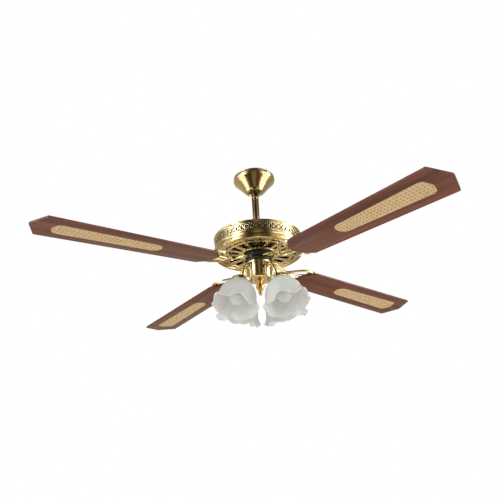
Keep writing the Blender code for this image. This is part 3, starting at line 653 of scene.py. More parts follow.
# %% A flat plate with rounded edges
def flat_mesh(name, outlines, thickness, edge=0.0, parts=2):
    """A plate in XY: the first outline less the others, its edges rounded by edge."""
    curve = bpy.data.curves.new(name, "CURVE")
    curve.dimensions = "2D"
    curve.fill_mode = "BOTH"
    curve.extrude = thickness / 2 - edge
    curve.bevel_depth = edge
    curve.bevel_resolution = parts
    curve.offset = -edge
    for outline in outlines:
        spline = curve.splines.new("POLY")
        spline.points.add(len(outline) - 1)
        for point, (x, y) in zip(spline.points, outline):
            point.co = (x, y, 0, 1)
        spline.use_cyclic_u = True
    holder = bpy.data.objects.new(name, curve)
    bpy.context.scene.collection.objects.link(holder)
    bpy.context.view_layer.update()
    graph = bpy.context.evaluated_depsgraph_get()
    mesh = bpy.data.meshes.new_from_object(holder.evaluated_get(graph))
    bpy.data.objects.remove(holder, do_unlink=True)
    mesh.materials.clear()
    bm = opened(mesh)
    bmesh.ops.remove_doubles(bm, verts=bm.verts, dist=0.000002)
    return saved(bm, mesh, outward=True)


def sliced(mesh, positions, normal=(1, 0, 0)):
    """Cuts a mesh at parallel planes, so that it can be bent smoothly there."""
    bm = opened(mesh)
    for position in positions:
        every = list(bm.verts) + list(bm.edges) + list(bm.faces)
        point = Vector(normal) * position
        bmesh.ops.bisect_plane(bm, geom=every, dist=0.000005, plane_co=point, plane_no=normal)
    bmesh.ops.triangulate(bm, faces=[f for f in bm.faces if len(f.verts) > 4])
    return saved(bm, mesh)


def moved(mesh, rule):
    """Moves every point of a mesh by a rule."""
    for vert in mesh.vertices:
        vert.co = rule(vert.co.copy())
    mesh.update()
    return mesh


# %% Pierced band
MOTIFS = 50
MOTIFS_A_TILE = 5


def loop(x, y, half_wide, half_high, count=12, point=0.0):
    """An oval hole; point pulls its upper end to a tip."""
    made = []
    for k in range(count):
        a = tau * k / count
        pull = 1 - point * max(sin(a), 0) ** 2
        made.append((x + half_wide * cos(a) * pull, y + half_high * sin(a)))
    return made


def pierced_band():
    """One tile of the lattice, flat, then rolled to the band's radius."""
    radius = BAND_R - 0.0034
    pitch = tau * radius / MOTIFS
    high, low = BAND_HIGH, BAND_LOW
    middle = (high + low) / 2
    width = pitch * MOTIFS_A_TILE
    outlines = [[(0, low), (width, low), (width, high), (0, high)]]
    for k in range(MOTIFS_A_TILE):
        x = (k + 0.5) * pitch
        outlines.append(loop(x, middle - 0.0006, 0.0029, 0.0068, 14, 0.75))
        outlines.append(loop(x, middle + 0.0106, 0.0018, 0.0018, 10))
        outlines.append(loop(x, middle - 0.0114, 0.0022, 0.0016, 10))
        for side in (1, -1):
            outlines.append(loop(x + side * 0.0056, middle + 0.0060, 0.0016, 0.0048, 10, 0.6))
            outlines.append(loop(x + side * 0.0057, middle - 0.0064, 0.0019, 0.0038, 10, -0.4))
    mesh = flat_mesh("pierced_tile", outlines, 0.0011, 0.0003, 1)
    sliced(mesh, [width * i / 30 for i in range(1, 30)])

    def roll(point):
        turn = point.x / radius
        out = radius + point.z
        return Vector((out * cos(turn), out * sin(turn), point.y))

    moved(mesh, roll)
    tiles = MOTIFS // MOTIFS_A_TILE
    return joined("pierced_band", [(mesh, around(tau * k / tiles)) for k in range(tiles)])


band = put("pierced_band", pierced_band(), BRASS, "hanging_frame")
print("pierced band triangles:", len(band.data.polygons))
# painted shade: a black sheet inside the lattice, so the holes read dark as if in shade
backing = [(BAND_R - 0.0068, BAND_HIGH), (BAND_R - 0.0068, BAND_LOW)]
put("band_backing", spin_mesh("band_backing", with_wall(backing, 0.0006), 96), BLACK, "hanging_frame")

# %% [markdown]
# ### Vented bottom plate
# Warm air leaves the motor through radial slots. The plate is punched, so each slot has a soft
# rolled edge, and two raised rings stiffen the sheet between the slots and the rim.


# %% Vent plate
VENT_SLOTS = 18
HOLE_R = FLYWHEEL_R + 0.0035
SLOT_IN, SLOT_OUT = HOLE_R + 0.0160, VENT_R - 0.0330
ARC_IN, ARC_OUT = 0.1085, 0.1140


def polar(radius, turn):
    """A point at a radius and a turn."""
    return (radius * cos(turn), radius * sin(turn))


def vent_plate():
    """The plate with a slot and an arc for each step round it."""
    pitch = tau / VENT_SLOTS
    outlines = [[polar(VENT_R, tau * i / 180) for i in range(180)]]
    outlines.append([polar(HOLE_R, tau * i / 96) for i in range(96)])
    for k in range(VENT_SLOTS):
        corners = [polar(SLOT_IN, (k - 0.24) * pitch), polar(SLOT_IN, (k + 0.24) * pitch)]
        corners += [polar(SLOT_OUT, (k + s * 0.31) * pitch) for s in (1, 0.5, 0, -0.5, -1)]
        outlines.append(rounded(corners, 0.0022, closed=True, parts=3))
        arc = [polar(ARC_IN, (k + s / 16) * pitch) for s in range(-6, 7)]
        arc += [polar(ARC_OUT, (k + s / 16) * pitch) for s in range(6, -7, -1)]
        outlines.append(rounded(arc, 0.0016, closed=True, parts=2))
    return flat_mesh("vent_plate_sheet", outlines, 0.0015, 0.00045, 2)


put("vent_plate_sheet", vent_plate(), BRASS, "hanging_frame", shift(0, 0, VENT_Z), ["vent_plate"])


def bead_ring(name, radius, thick, z):
    """A half-buried round bead, as rolled into sheet."""
    profile = [(radius + thick * cos(tau * i / 12), z + thick * sin(tau * i / 12)) for i in range(12)]
    return put(name, spin_mesh(name, profile, 128), BRASS, "hanging_frame")


sheet_face = foot_of("vent_plate")
bead_ring("vent_ring_inner", 0.0565, 0.0013, sheet_face)
bead_ring("vent_ring_middle", 0.1036, 0.0012, sheet_face)
bead_ring("vent_ring_outer", 0.1200, 0.0014, sheet_face)

# %% [markdown]
# ## Flywheel and blade irons
# The black flywheel ring carries the irons. An iron is an openwork casting: a pad screwed under
# the ring, a neck that drops, and a fan of loops that spreads over the blade's root. It is drawn
# flat, rounded at its edges, cut across where it bends, and then bent by the same rule as the
# beads and screws that sit on it.

# %% Flywheel
FLYWHEEL_BORE_R = FLYWHEEL_R * 0.49
CLAMP_BORE_R = 0.0285
flywheel_corners = [
    (FLYWHEEL_R, FLYWHEEL_TOP), (FLYWHEEL_R, FLYWHEEL_FOOT), (FLYWHEEL_BORE_R, FLYWHEEL_FOOT),
    (FLYWHEEL_BORE_R, FLYWHEEL_TOP),
]
put(
    "flywheel_ring", spin_mesh("flywheel_ring", rounded(flywheel_corners, 0.0020, closed=True), 96),
    BLACK, "rotor", stands_for=["flywheel"],
)

clamp_corners = [
    (radius_of("clamp_ring"), top_of("clamp_ring")), (radius_of("clamp_ring"), foot_of("clamp_ring")),
    (CLAMP_BORE_R, foot_of("clamp_ring")), (CLAMP_BORE_R, top_of("clamp_ring")),
]
put(
    "clamp", spin_mesh("clamp", rounded(clamp_corners, 0.0012, closed=True), 96), BLACK, "rotor",
    stands_for=["clamp_ring"],
)

# %% The bend shared by everything on an iron
PAD_END = 0.058
BEND_END = 0.108


def blade_plane(turn):
    """A blade's own frame: X outward along it, Y across it, Z out of its top."""
    lean = Matrix.Rotation(BLADE_DROOP, 4, "Y") @ Matrix.Rotation(BLADE_PITCH, 4, "X")
    return around(turn) @ shift(0, 0, BLADE_APEX_Z) @ lean


ON_BLADE = blade_plane(0) @ shift(0, 0, BLADE / 2 + GAP + IRON / 2)
UNDER_RING = shift(0, 0, FLYWHEEL_FOOT - GAP - IRON / 2)


def bend_iron(point):
    """From the flat drawing to the bent iron of blade 1."""
    along = min(max((point.x - PAD_END) / (BEND_END - PAD_END), 0.0), 1.0)
    share = along * along * (3 - 2 * along)
    return (UNDER_RING @ point).lerp(ON_BLADE @ point, share)


def curve_through(points, parts=5, closed=True):
    """A smooth loop or line through points, as Catmull-Rom pieces."""
    count = len(points)
    made = []
    for i in range(count if closed else count - 1):
        if closed:
            a, b, c, d = (Vector(points[(i + k) % count]) for k in (-1, 0, 1, 2))
        else:
            a, b, c, d = (Vector(points[min(max(i + k, 0), count - 1)]) for k in (-1, 0, 1, 2))
        for k in range(parts):
            t = k / parts
            square, cube = 2 * a - 5 * b + 4 * c - d, 3 * b - a - 3 * c + d
            made.append(tuple(0.5 * (2 * b + (c - a) * t + square * t * t + cube * t**3)))
    if not closed:
        made.append(tuple(points[-1]))
    return made


def mirrored(half):
    """A closed outline from its upper half, whose first and last points may lie on the axis."""
    return half + [(x, -y) for x, y in reversed(half) if y > 0]


# %% Iron drawing
IRON_HALF = tenths(
    0, 0, (270, 0), (285, 110), (340, 150), (430, 150), (560, 95), (850, 85), (1050, 140), (1220, 300),
    (1400, 440), (1620, 530), (1850, 500), (1960, 410), (1870, 340), (1920, 220), (2160, 150),
    (2360, 80), (2400, 0),
)
SIDE_LOOP = tenths(0, 0, (1220, 130), (1330, 260), (1520, 390), (1680, 400), (1640, 240), (1430, 120))
MIDDLE_LOOP = mirrored([(0.1080, 0.0000), (0.1240, 0.0055), (0.1500, 0.0060), (0.1640, 0.0000)])


def tube_mesh(name, points, radius, sides=8, closed=False, flat_side=1.0):
    """A thin rod along points in the flat drawing, at height z of each point."""
    bm = bmesh.new()
    count = len(points)
    rings = []
    for i, point in enumerate(points):
        before = Vector(points[i - 1 if closed or i else 0])
        after = Vector(points[(i + 1) % count if closed else min(i + 1, count - 1)])
        run = (after - before).normalized()
        side = Vector((-run.y, run.x, 0)).normalized()
        up = run.cross(side)
        ring = []
        for k in range(sides):
            a = tau * k / sides
            ring.append(bm.verts.new(Vector(point) + (side * cos(a) + up * sin(a) * flat_side) * radius))
        rings.append(ring)
    skin(bm, rings + rings[:1] if closed else rings, caps=not closed)
    return saved(bm, name, 60, outward=True)


def iron_mesh():
    """The openwork plate and its raised scrolls, bent together."""
    outlines = [curve_through(mirrored(IRON_HALF))]
    outlines.append(curve_through(SIDE_LOOP))
    outlines.append(curve_through([(x, -y) for x, y in SIDE_LOOP]))
    outlines.append(curve_through(MIDDLE_LOOP))
    plate = flat_mesh("iron_plate", outlines, IRON, 0.0011, 3)
    sliced(plate, [PAD_END + (BEND_END - PAD_END) * k / 14 for k in range(15)])
    moved(plate, bend_iron)
    pieces = [(plate, STILL)]
    face = -IRON / 2
    ridge = [(0.062, 0), (0.085, 0), (0.104, 0)]
    scroll = tenths(0, 0, (1040, 10), (1180, 85), (1340, 120), (1520, 140), (1660, 190), (1720, 280))
    edge = tenths(0, 0, (1070, 120), (1240, 275), (1420, 410), (1620, 480), (1820, 460), (1900, 400))
    lines = [ridge, scroll, edge]
    lines += [[(x, -y) for x, y in line] for line in (scroll, edge)]
    for line in lines:
        path = [(x, y, face) for x, y in curve_through(line, 6, closed=False)]
        pieces.append((moved(tube_mesh("iron_bead", path, 0.0017, 8), bend_iron), STILL))
    return joined("blade_iron_casting", pieces)


iron = iron_mesh()
pad_screw = screw_mesh("pad_screw", 0.0038, 0.0022, 0.0016, 0.0030)
for number in BLADES:
    turn = tau * (number - 1) / 4
    node = f"blade_iron_{number}"
    put(f"iron_casting_{number}", iron, BRASS, "rotor", around(turn), [node])
    seat = around(turn) @ shift(0.0510, 0, FLYWHEEL_FOOT - GAP - IRON) @ Matrix.Rotation(pi, 4, "X")
    put(f"pad_screw_{number}", pad_screw, BRASS, "rotor", seat)
    for letter, (x, y) in (("a", (0.178, 0.030)), ("b", (0.178, -0.030)), ("c", (0.225, 0.0))):
        seat = around(turn) @ ON_BLADE @ shift(x, y, IRON / 2)
        put(f"blade_screw_{number}{letter}", pad_screw, BRASS, "rotor", seat)
print("iron faces:", len(iron.polygons))

# %% [markdown]
# ## Blades with cane panels
# A blade is a veneered board with a pointed tip. A shallow recess in its lower face takes a panel
# of woven cane. Cane webbing has pairs of strands along and across, and single strands on both
# diagonals, which leave small eight-sided holes. Each strand is a thin flat strip that waves over
# and under its neighbours, cut off at the panel's edge.

# %% Blade board
ROOT_U, ROOT_HALF = 0.159, 0.054
TIP_HALF, TIP_POINT = 0.0632, 0.0253
CANE_IN, CANE_OUT = 0.327, 0.611
RECESS = 0.0011


def cane_outline(inset):
    """The panel's edge: round towards the hub, three facets towards the tip."""
    a, b = CANE_IN + inset, CANE_OUT - inset
    narrow, wide = 0.0240 - inset, 0.0310 - inset
    nose = [(a + narrow * (1 - cos(pi / 2 * i / 8)), narrow * sin(pi / 2 * i / 8)) for i in range(9)]
    return mirrored(nose + [(b - 0.0170, wide), (b - 0.0080, wide - 0.0050), (b, 0.0)])


def board_mesh():
    """The pointed board with the panel's recess."""
    tip = HALF_SPAN / cos(BLADE_DROOP)
    half = [
        (ROOT_U, 0.0), (ROOT_U, 0.0210), (ROOT_U + 0.0335, ROOT_HALF), (tip - TIP_POINT, TIP_HALF),
        (tip, 0.0),
    ]
    outline = mirrored(half)
    outline = rounded(outline[1:] + outline[:1], 0.0030, closed=True, parts=3)
    board = flat_mesh("board", [outline], BLADE, 0.0012, 2)
    recess = flat_mesh("recess", [rounded(cane_outline(0), 0.002, True, 3)], 2 * RECESS)
    return cut_out(board, recess, shift(0, 0, -BLADE / 2))


# %% Cane weave
CANE_PITCH = 0.0108


def clip_to(outline, start, run):
    """Where the line start + t * run enters and leaves a convex outline, or None."""
    low, high = -9.0, 9.0
    count = len(outline)
    middle = Vector((sum(x for x, y in outline) / count, sum(y for x, y in outline) / count))
    for i, corner in enumerate(outline):
        a, b = Vector(corner), Vector(outline[(i + 1) % count])
        if (b - a).length < 1e-7:
            continue
        normal = Vector(((b - a).y, -(b - a).x))
        if normal.dot(middle - a) > 0:
            normal.negate()
        slope, side = normal.dot(run), normal.dot(start - a)
        if abs(slope) < 1e-9:
            if side > 0:
                return None
            continue
        t = -side / slope
        low, high = (low, min(high, t)) if slope > 0 else (max(low, t), high)
    return (low, high) if high - low > 0.002 else None


def strand(bm, start, end, wide, base, wave, phase):
    """A flat strip with a slightly crowned face that rises and falls as it is woven."""
    run = end - start
    steps = max(int(run.length / (CANE_PITCH / 4)), 2)
    side = Vector((-run.y, run.x)).normalized() * wide / 2
    rows = []
    for i in range(steps + 1):
        point = start + run * i / steps
        z = base + wave * cos(tau * (run.length * i / steps) / (2 * CANE_PITCH) + phase)
        row = []
        for share, lift in ((-1, 0.00008), (-0.5, -0.00010), (0.5, -0.00010), (1, 0.00008)):
            spot = point + side * share
            row.append(bm.verts.new((spot.x, spot.y, z + lift)))
        rows.append(row)
    for one, two in zip(rows, rows[1:]):
        for k in range(3):
            bm.faces.new((one[k], one[k + 1], two[k + 1], two[k]))


def cane_mesh():
    """The woven strands in the blade's frame, just inside its lower face."""
    outline = cane_outline(0.0006)
    face = -BLADE / 2 + 0.0004
    bm = bmesh.new()
    layers = []
    half_gap = 0.0015
    rows = int(0.036 / CANE_PITCH) + 1
    columns = int((CANE_OUT - CANE_IN) / CANE_PITCH) + 1
    middle = (CANE_IN + CANE_OUT) / 2
    for k in range(-rows, rows + 1):
        for side in (1, -1):
            start = Vector((middle, k * CANE_PITCH + side * half_gap))
            layers.append((start, Vector((1, 0)), k % 2 * pi, 0.0))
    for k in range(-columns // 2, columns // 2 + 1):
        for side in (1, -1):
            start = Vector((middle + k * CANE_PITCH + side * half_gap, 0))
            layers.append((start, Vector((0, 1)), (k + 1) % 2 * pi, 0.0001))
    for k in range(-columns // 2 - 3, columns // 2 + 4):
        for slope in (1, -1):
            start = Vector((middle + (k + 0.5) * CANE_PITCH, 0))
            layers.append((start, Vector((1, slope)).normalized(), 0.0, 0.0003))
    for start, run, phase, lift in layers:
        span = clip_to(outline, start, run)
        if span:
            wide = 0.0024 if lift < 0.0003 else 0.0023
            strand(bm, start + run * span[0], start + run * span[1], wide, face + lift, 0.00018, phase)
    return saved(bm, "cane_weave", 60)


def reed_mesh():
    """The reed pressed in round the panel's edge, which hides the strands' ends."""
    path = [(x, y, -BLADE / 2 + 0.0004) for x, y in cane_outline(0.0015)]
    return tube_mesh("cane_reed", path, 0.0012, 8, closed=True, flat_side=0.7)


def solid_strands(piece):
    """Gives the strips their thickness."""
    wall = piece.modifiers.new("thickness", "SOLIDIFY")
    wall.thickness = 0.0004
    wall.offset = 0
    return piece


board, weave, reed = board_mesh(), cane_mesh(), reed_mesh()
backboard = flat_mesh("cane_backboard", [cane_outline(GAP)], 0.0003)
behind = shift(0, 0, -BLADE / 2 + RECESS - 0.0002)
for number in BLADES:
    plane = blade_plane(tau * (number - 1) / 4)
    put(f"board_{number}", board, MAHOGANY, "rotor", plane, [f"blade_{number}"])
    panel = put(f"cane_weave_{number}", weave, CANE, "rotor", plane, [f"cane_panel_{number}"])
    solid_strands(panel)
    put(f"cane_backboard_{number}", backboard, BOARD, "rotor", plane @ behind)
    put(f"cane_reed_{number}", reed, CANE, "rotor", plane)
print("strand faces:", len(weave.polygons))

# %% [markdown]
# ## Switch cup and finial
# The cup is spun brass with a bead at each end. The reverse switch looks out of a slot in its
# side, and a turned finial closes it below.


# %% Switch cup
def cup_mesh():
    """The cup's wall and bottom in one spun sheet."""
    corners = tenths(CUP_R, CUP_TOP, (-10, 0), (0, -10), (0, -28), (-10, -42))
    corners += tenths(CUP_R, CUP_FOOT, (-8, 90), (0, 72), (0, 46), (-16, 22), (-52, 6))
    corners += tenths(0, CUP_FOOT, (300, 4), (60, 0), (46, 0))
    return spin_mesh("cup", with_wall(rounded(corners, 0.0014), SHEET * 0.8), 128)


KNOB_LOW, KNOB_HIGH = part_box("reverse_switch_knob")
KNOB_TURN = radians(71)
FACING_OUT = Matrix(((0, 0, 1, 0), (1, 0, 0, 0), (0, 1, 0, 0), (0, 0, 0, 1)))


def slotted_cup():
    """The cup with the switch's slot cut through its wall."""
    slot = [(-0.0023, -0.0060), (0.0023, -0.0060), (0.0023, 0.0060), (-0.0023, 0.0060)]
    cutter = flat_mesh("cup_slot", [rounded(slot, 0.0008, True, 3)], 0.012)
    middle = (KNOB_LOW.z + KNOB_HIGH.z) / 2 - 0.0030
    return cut_out(cup_mesh(), cutter, around(KNOB_TURN) @ shift(CUP_R, 0, middle) @ FACING_OUT)


put("cup", slotted_cup(), BRASS, "hanging_frame", stands_for=["switch_housing"])


# %% Switch knob
def knob_mesh():
    """A small slider with three grip ridges, its face along +X."""
    depth = 0.0064
    outline = [(-0.0020, -0.0025), (0.0020, -0.0025), (0.0020, 0.0025), (-0.0020, 0.0025)]
    body = flat_mesh("knob_body", [rounded(outline, 0.0005, True, 2)], depth, 0.0003, 2)
    parts = [(body, FACING_OUT)]
    for z in (-0.0014, 0.0, 0.0014):
        path = [(depth / 2, -0.0014, z), (depth / 2, 0.0014, z)]
        parts.append((tube_mesh("knob_ridge", path, 0.00035, 8), STILL))
    return joined("slider_knob", parts)


knob_middle = (KNOB_LOW.z + KNOB_HIGH.z) / 2
knob_out = CUP_R - 0.0055 + GAP + 0.0032
put(
    "slider_knob", knob_mesh(), BLACK, "reverse_knob",
    around(KNOB_TURN) @ shift(knob_out, 0, knob_middle), ["reverse_switch_knob"],
)


# %% Finial
def finial_mesh():
    """A turned knob with a neck, a belly and a tip."""
    r, top = radius_of("finial"), CUP_FOOT - GAP
    height = top - FINIAL_FOOT
    shape = [(1.0, 0.0), (1.0, 0.045), (0.80, 0.065), (0.62, 0.12), (0.56, 0.19), (0.66, 0.235)]
    shape += [(0.84, 0.30), (0.92, 0.385), (0.88, 0.47), (0.70, 0.585), (0.54, 0.67), (0.42, 0.735)]
    shape += [(0.40, 0.765), (0.47, 0.795), (0.47, 0.835), (0.38, 0.865), (0.36, 0.91), (0.26, 0.965)]
    outline = [(share * r, top - drop * height) for share, drop in shape]
    profile = [(0.0, top + 0.006), (0.0042, top + 0.006), (0.0042, top)] + outline + [(0.0, FINIAL_FOOT)]
    smoothed = curve_through(profile[3:], 4, closed=False)
    return spin_mesh("finial_turning", profile[:3] + smoothed, 64, closed=False)


# the finial's amber tint is a painted reflection
put("finial_turning", finial_mesh(), BRASS_WITH_PAINTED_REFLECTION, "hanging_frame", stands_for=["finial"])

# %% [markdown]
# ## Lamps
# Each lamp has a bent arm, a socket with a holder cup, three thumb screws, a bulb and a tulip
# glass. The glass is blown thin and its rim is pulled into six soft lobes while hot, so the waves
# grow from nothing at the belly to their full depth at the rim.


# %% Glass shade
RUFFLE_START = 0.35  # shares of the way from neck to rim
RUFFLE_SWELL = 0.088
RUFFLE_DIP = 0.0075


def shade_mesh():
    """A round neck and belly that open into six soft lobes."""
    steps, rows = 120, 36
    shape = [(0.00, 0.0275), (0.09, 0.0275), (0.15, 0.0335), (0.24, 0.0430), (0.45, 0.0520)]
    shape += [(0.62, 0.0548), (0.75, 0.0570), (0.87, 0.0600), (0.96, 0.0640), (1.00, 0.0660)]
    line = curve_through(shape, 6, closed=False)

    def radius_at(share):
        for (s0, r0), (s1, r1) in zip(line, line[1:]):
            if share <= s1:
                return r0 + (r1 - r0) * (share - s0) / max(s1 - s0, 1e-9)
        return line[-1][1]

    bm = bmesh.new()
    grid = []
    for i in range(rows + 1):
        share = i / rows
        ruffle = max(share - RUFFLE_START, 0.0) / (1 - RUFFLE_START)
        row = []
        for k in range(steps):
            turn = tau * k / steps
            wave = cos(6 * turn)
            lobe = wave * 0.75 + cos(12 * turn + 0.6) * 0.18 * ruffle + 0.10 * sin(3 * turn)
            flute = 0.00022 * cos(36 * turn) * min(share * 6, 1.0)
            r = radius_at(share) * (1 + RUFFLE_SWELL * ruffle**1.6 * lobe) + flute
            turn += 0.055 * ruffle**2 * sin(6 * turn)
            drop = share * SHADE_L - RUFFLE_DIP * ruffle**2.2 * lobe
            row.append(bm.verts.new((r * cos(turn), r * sin(turn), -drop)))
        grid.append(row)
    skin(bm, grid)
    return saved(bm, "tulip_glass", 80)


def lamp_frame(turn):
    """A lamp's own frame: origin at the shade's neck, -Z along the shade."""
    return around(turn) @ shift(NECK_OUT, 0, NECK_Z) @ Matrix.Rotation(-LIGHT_TILT, 4, "Y")


# %% Holder, bulb and thumb screws
HOLDER_TOP = 0.018
NECK_R = 0.0275


def holder_mesh():
    """The holder cup and the socket inside it, as one turning."""
    cup = NECK_R + 0.0012
    corners = tenths(0, HOLDER_TOP, (0, 0), (72, 0), (78, -15), (70, -30))
    corners += tenths(0, 0, (110, 125), (190, 98), (255, 66))
    corners += tenths(cup, 0, (12, 30), (12, -40), (22, -52), (12, -66), (0, -60), (0, 6))
    corners += tenths(0, 0, (140, 6), (140, -280), (108, -280), (108, -40), (0, -40))
    return spin_mesh("holder_cup", rounded(corners, 0.0010), 72, closed=False)


def bulb_mesh():
    """A small round bulb with its cap."""
    middle, globe = -0.0560, 0.0210
    cap = [(0.0, -0.0055), (0.0085, -0.0055), (0.0105, -0.0075), (0.0105, -0.0300)]
    arc = [radians(38 + 142 * i / 22) for i in range(23)]
    profile = rounded(cap, 0.0008) + [(globe * sin(a), middle + globe * cos(a)) for a in arc]
    return spin_mesh("golf_bulb", profile, 48, closed=False)


def thumb_screw():
    """A small screw with a waisted head."""
    corners = tenths(0, 0, (0, 62), (26, 60), (30, 48), (28, 36), (14, 30), (14, -10), (0, -10))
    return spin_mesh("thumb_screw", rounded(corners, 0.0005), 24, closed=False)


shade_glass, holder, bulb, thumb = shade_mesh(), holder_mesh(), bulb_mesh(), thumb_screw()
for number in LAMPS:
    turn = LIGHT_TURN + tau * (number - 1) / 4
    at = lamp_frame(turn)
    glass = put(f"tulip_glass_{number}", shade_glass, FROSTED, "hanging_frame", at, [f"shade_{number}"])
    wall = glass.modifiers.new("wall", "SOLIDIFY")
    wall.thickness = 0.0022
    wall.offset = 1
    put(f"holder_{number}", holder, BRASS, "hanging_frame", at, [f"lamp_socket_{number}"])
    put(f"golf_bulb_{number}", bulb, OPAL, "hanging_frame", at, [f"bulb_{number}"])
    for k in range(3):
        seat = at @ around(tau * (k + 0.5) / 3) @ shift(
            NECK_R + 0.0024, 0, -0.0015,
        ) @ Matrix.Rotation(pi / 2, 4, "Y")
        put(f"thumb_screw_{number}{'abc'[k]}", thumb, BRASS, "hanging_frame", seat)


# %% Arms
ARM_R = 0.005
ARM_Z = CUP_TOP - 0.0155
ARM_REACH, ARM_DROP = 0.030, 0.020


def arm_path():
    """The arm's centre line in the plane of lamp 1 before it is turned into place."""
    end = lamp_frame(0) @ Vector((0, 0, HOLDER_TOP + GAP))
    up = lamp_frame(0).to_3x3() @ Vector((0, 0, 1))
    start = Vector((CUP_R - 0.004, 0, ARM_Z))
    a, b = start + Vector((ARM_REACH, 0, 0)), end + up * ARM_DROP
    made = []
    for i in range(29):
        t = i / 28
        made.append(start * (1 - t) ** 3 + a * 3 * t * (1 - t) ** 2 + b * 3 * t * t * (1 - t) + end * t**3)
    return made


def arm_mesh():
    """A tube that swells a little at its middle, with a rosette at the cup and a collar below."""
    bm = bmesh.new()
    path = arm_path()
    rings = []
    for i, point in enumerate(path):
        run = (path[min(i + 1, len(path) - 1)] - path[max(i - 1, 0)]).normalized()
        across = Vector((0, 1, 0))
        up = run.cross(across)
        thick = ARM_R * (0.86 + 0.14 * sin(pi * i / (len(path) - 1)))
        turns = [tau * k / 20 for k in range(20)]
        rings.append([bm.verts.new(point + (across * cos(a) + up * sin(a)) * thick) for a in turns])
    skin(bm, rings, caps=True)
    tube = saved(bm, "arm_tube", outward=True)
    rose = tenths(0, 0, (52, 58), (66, 52), (72, 36), (96, 26), (112, 8), (112, 0), (52, 0))
    rosette = spin_mesh("rosette", rounded(rose, 0.0008, closed=True), 40)
    on_cup = shift(CUP_R - 0.0008, 0, ARM_Z) @ Matrix.Rotation(pi / 2, 4, "Y")
    ring = tenths(0, 0, (50, 30), (68, 24), (68, 8), (50, 0))
    collar = spin_mesh("arm_collar", rounded(ring, 0.0008, closed=True), 32)
    on_holder = lamp_frame(0) @ shift(0, 0, HOLDER_TOP + 0.0008)
    return joined("arm", [(tube, STILL), (rosette, on_cup), (collar, on_holder)])


arm = arm_mesh()
for number in LAMPS:
    turn = LIGHT_TURN + tau * (number - 1) / 4
    put(f"arm_{number}", arm, BRASS, "hanging_frame", around(turn), [f"lamp_arm_{number}"])

# %% [markdown]
# ## Pieces that keep their CAD shape
# The bracket and the motor's parts are already the right shape, so they only need their finish.

# %% Finishes for the carried pieces
CARRIED = {
    "ceiling_bracket": ZINC, "hanger_pin": ZINC, "coupling_pin": ZINC, "motor_coupling": ZINC,
    "motor_shaft": ZINC, "switch_plate": ZINC, "upper_bearing": ZINC, "lower_bearing": ZINC,
    "stator_core": LAMINATE, "rotor_cage": LAMINATE, "upper_winding": COPPER, "lower_winding": COPPER,
    # the rotor shells take the casting darkened as painted shade
    "rotor_shell_upper": CASTING_IN_PAINTED_SHADE, "rotor_shell_lower": CASTING_IN_PAINTED_SHADE, "reverse_switch": BLACK,
    "capacitor": BLACK,
}
for node, finish in CARRIED.items():
    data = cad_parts[node].data
    data.materials.clear()
    data.materials.append(finish)
print("carried pieces:", len(CARRIED))

# %% [markdown]
# ## Studio
# Brass looks like what surrounds it. The sky is a pale studio that darkens in a few soft vertical
# bands, as dark cards beside a camera do, and soft lamps light the fan from the front and below.
# The floor is pale and far below, and only views from above see it.

# %% Camera
VIEW_DISTANCE = 1.513
VIEW_LIFT = radians(-22.459)
VIEW_PAN, VIEW_TILT, VIEW_ROLL = radians(-0.453), radians(1.893), radians(-3.329)
VIEW_TURN = radians(-218.778)
FOCAL = 0.9972


def camera_matrix():
    """The camera looks up at the blades' centre from the side, a little panned and rolled."""
    place = Vector((0, -VIEW_DISTANCE * cos(VIEW_LIFT), VIEW_DISTANCE * sin(VIEW_LIFT)))
    ahead = -place.normalized()
    right = Vector((1, 0, 0))
    up = right.cross(ahead)
    panned = ahead * cos(VIEW_PAN) + right * sin(VIEW_PAN)
    right = right * cos(VIEW_PAN) - ahead * sin(VIEW_PAN)
    ahead = panned * cos(VIEW_TILT) + up * sin(VIEW_TILT)
    up = up * cos(VIEW_TILT) - panned * sin(VIEW_TILT)
    rolled = right * cos(VIEW_ROLL) + up * sin(VIEW_ROLL)
    up = -right * sin(VIEW_ROLL) + up * cos(VIEW_ROLL)
    axes = Matrix((rolled, up, -ahead)).transposed().to_4x4()
    return around(VIEW_TURN) @ shift(*(place + Vector((0, 0, BLADE_APEX_Z)))) @ axes


def place_of(x, y, z):
    """A point given to the right of, beyond and above the blades' centre, seen by the camera."""
    return around(VIEW_TURN) @ Vector((x, y, z + BLADE_APEX_Z))


lens = bpy.data.cameras.new("camera")
lens.sensor_width = 36.0
lens.lens = 36.0 * FOCAL
lens.shift_x = -0.0084
lens.shift_y = 0.0009
camera = bpy.data.objects.new("camera", lens)
bpy.context.scene.collection.objects.link(camera)
camera.matrix_world = camera_matrix()
bpy.context.scene.camera = camera


# %% Lights and floor
def soft_light(name, place, size, power, color=(1.0, 0.985, 0.96)):
    """A square soft lamp that faces the fan."""
    data = bpy.data.lights.new(name, "AREA")
    data.shape = "RECTANGLE"
    data.size, data.size_y = size
    data.energy = power
    data.color = color
    made = bpy.data.objects.new(name, data)
    bpy.context.scene.collection.objects.link(made)
    made.location = place_of(*place)
    aim = Vector((0, 0, BLADE_APEX_Z)) - made.location
    made.rotation_mode = "QUATERNION"
    made.rotation_quaternion = aim.to_track_quat("-Z", "Y")
    return made


soft_light("key_left", (-2.2, -1.6, 0.3), (0.7, 2.2), 38)
soft_light("key_right", (2.5, -0.2, 0.2), (0.8, 2.4), 42)
fill_light = soft_light("fill_below", (0.3, -0.8, -2.2), (2.6, 2.6), 40)
fill_light.visible_glossy = False

floor_mesh = spin_mesh("floor", [(4.0, -1.80), (4.0, -1.82), (0.0, -1.82), (0.0, -1.80)], 96)
floor_paint, _, floor_shader = new_finish("Floor", Roughness=0.8)
floor_shader.inputs["Base Color"].default_value = (0.86, 0.86, 0.85, 1.0)
floor = bpy.data.objects.new("floor", floor_mesh)
floor_mesh.materials.append(floor_paint)
bpy.context.scene.collection.objects.link(floor)
floor.visible_glossy = False


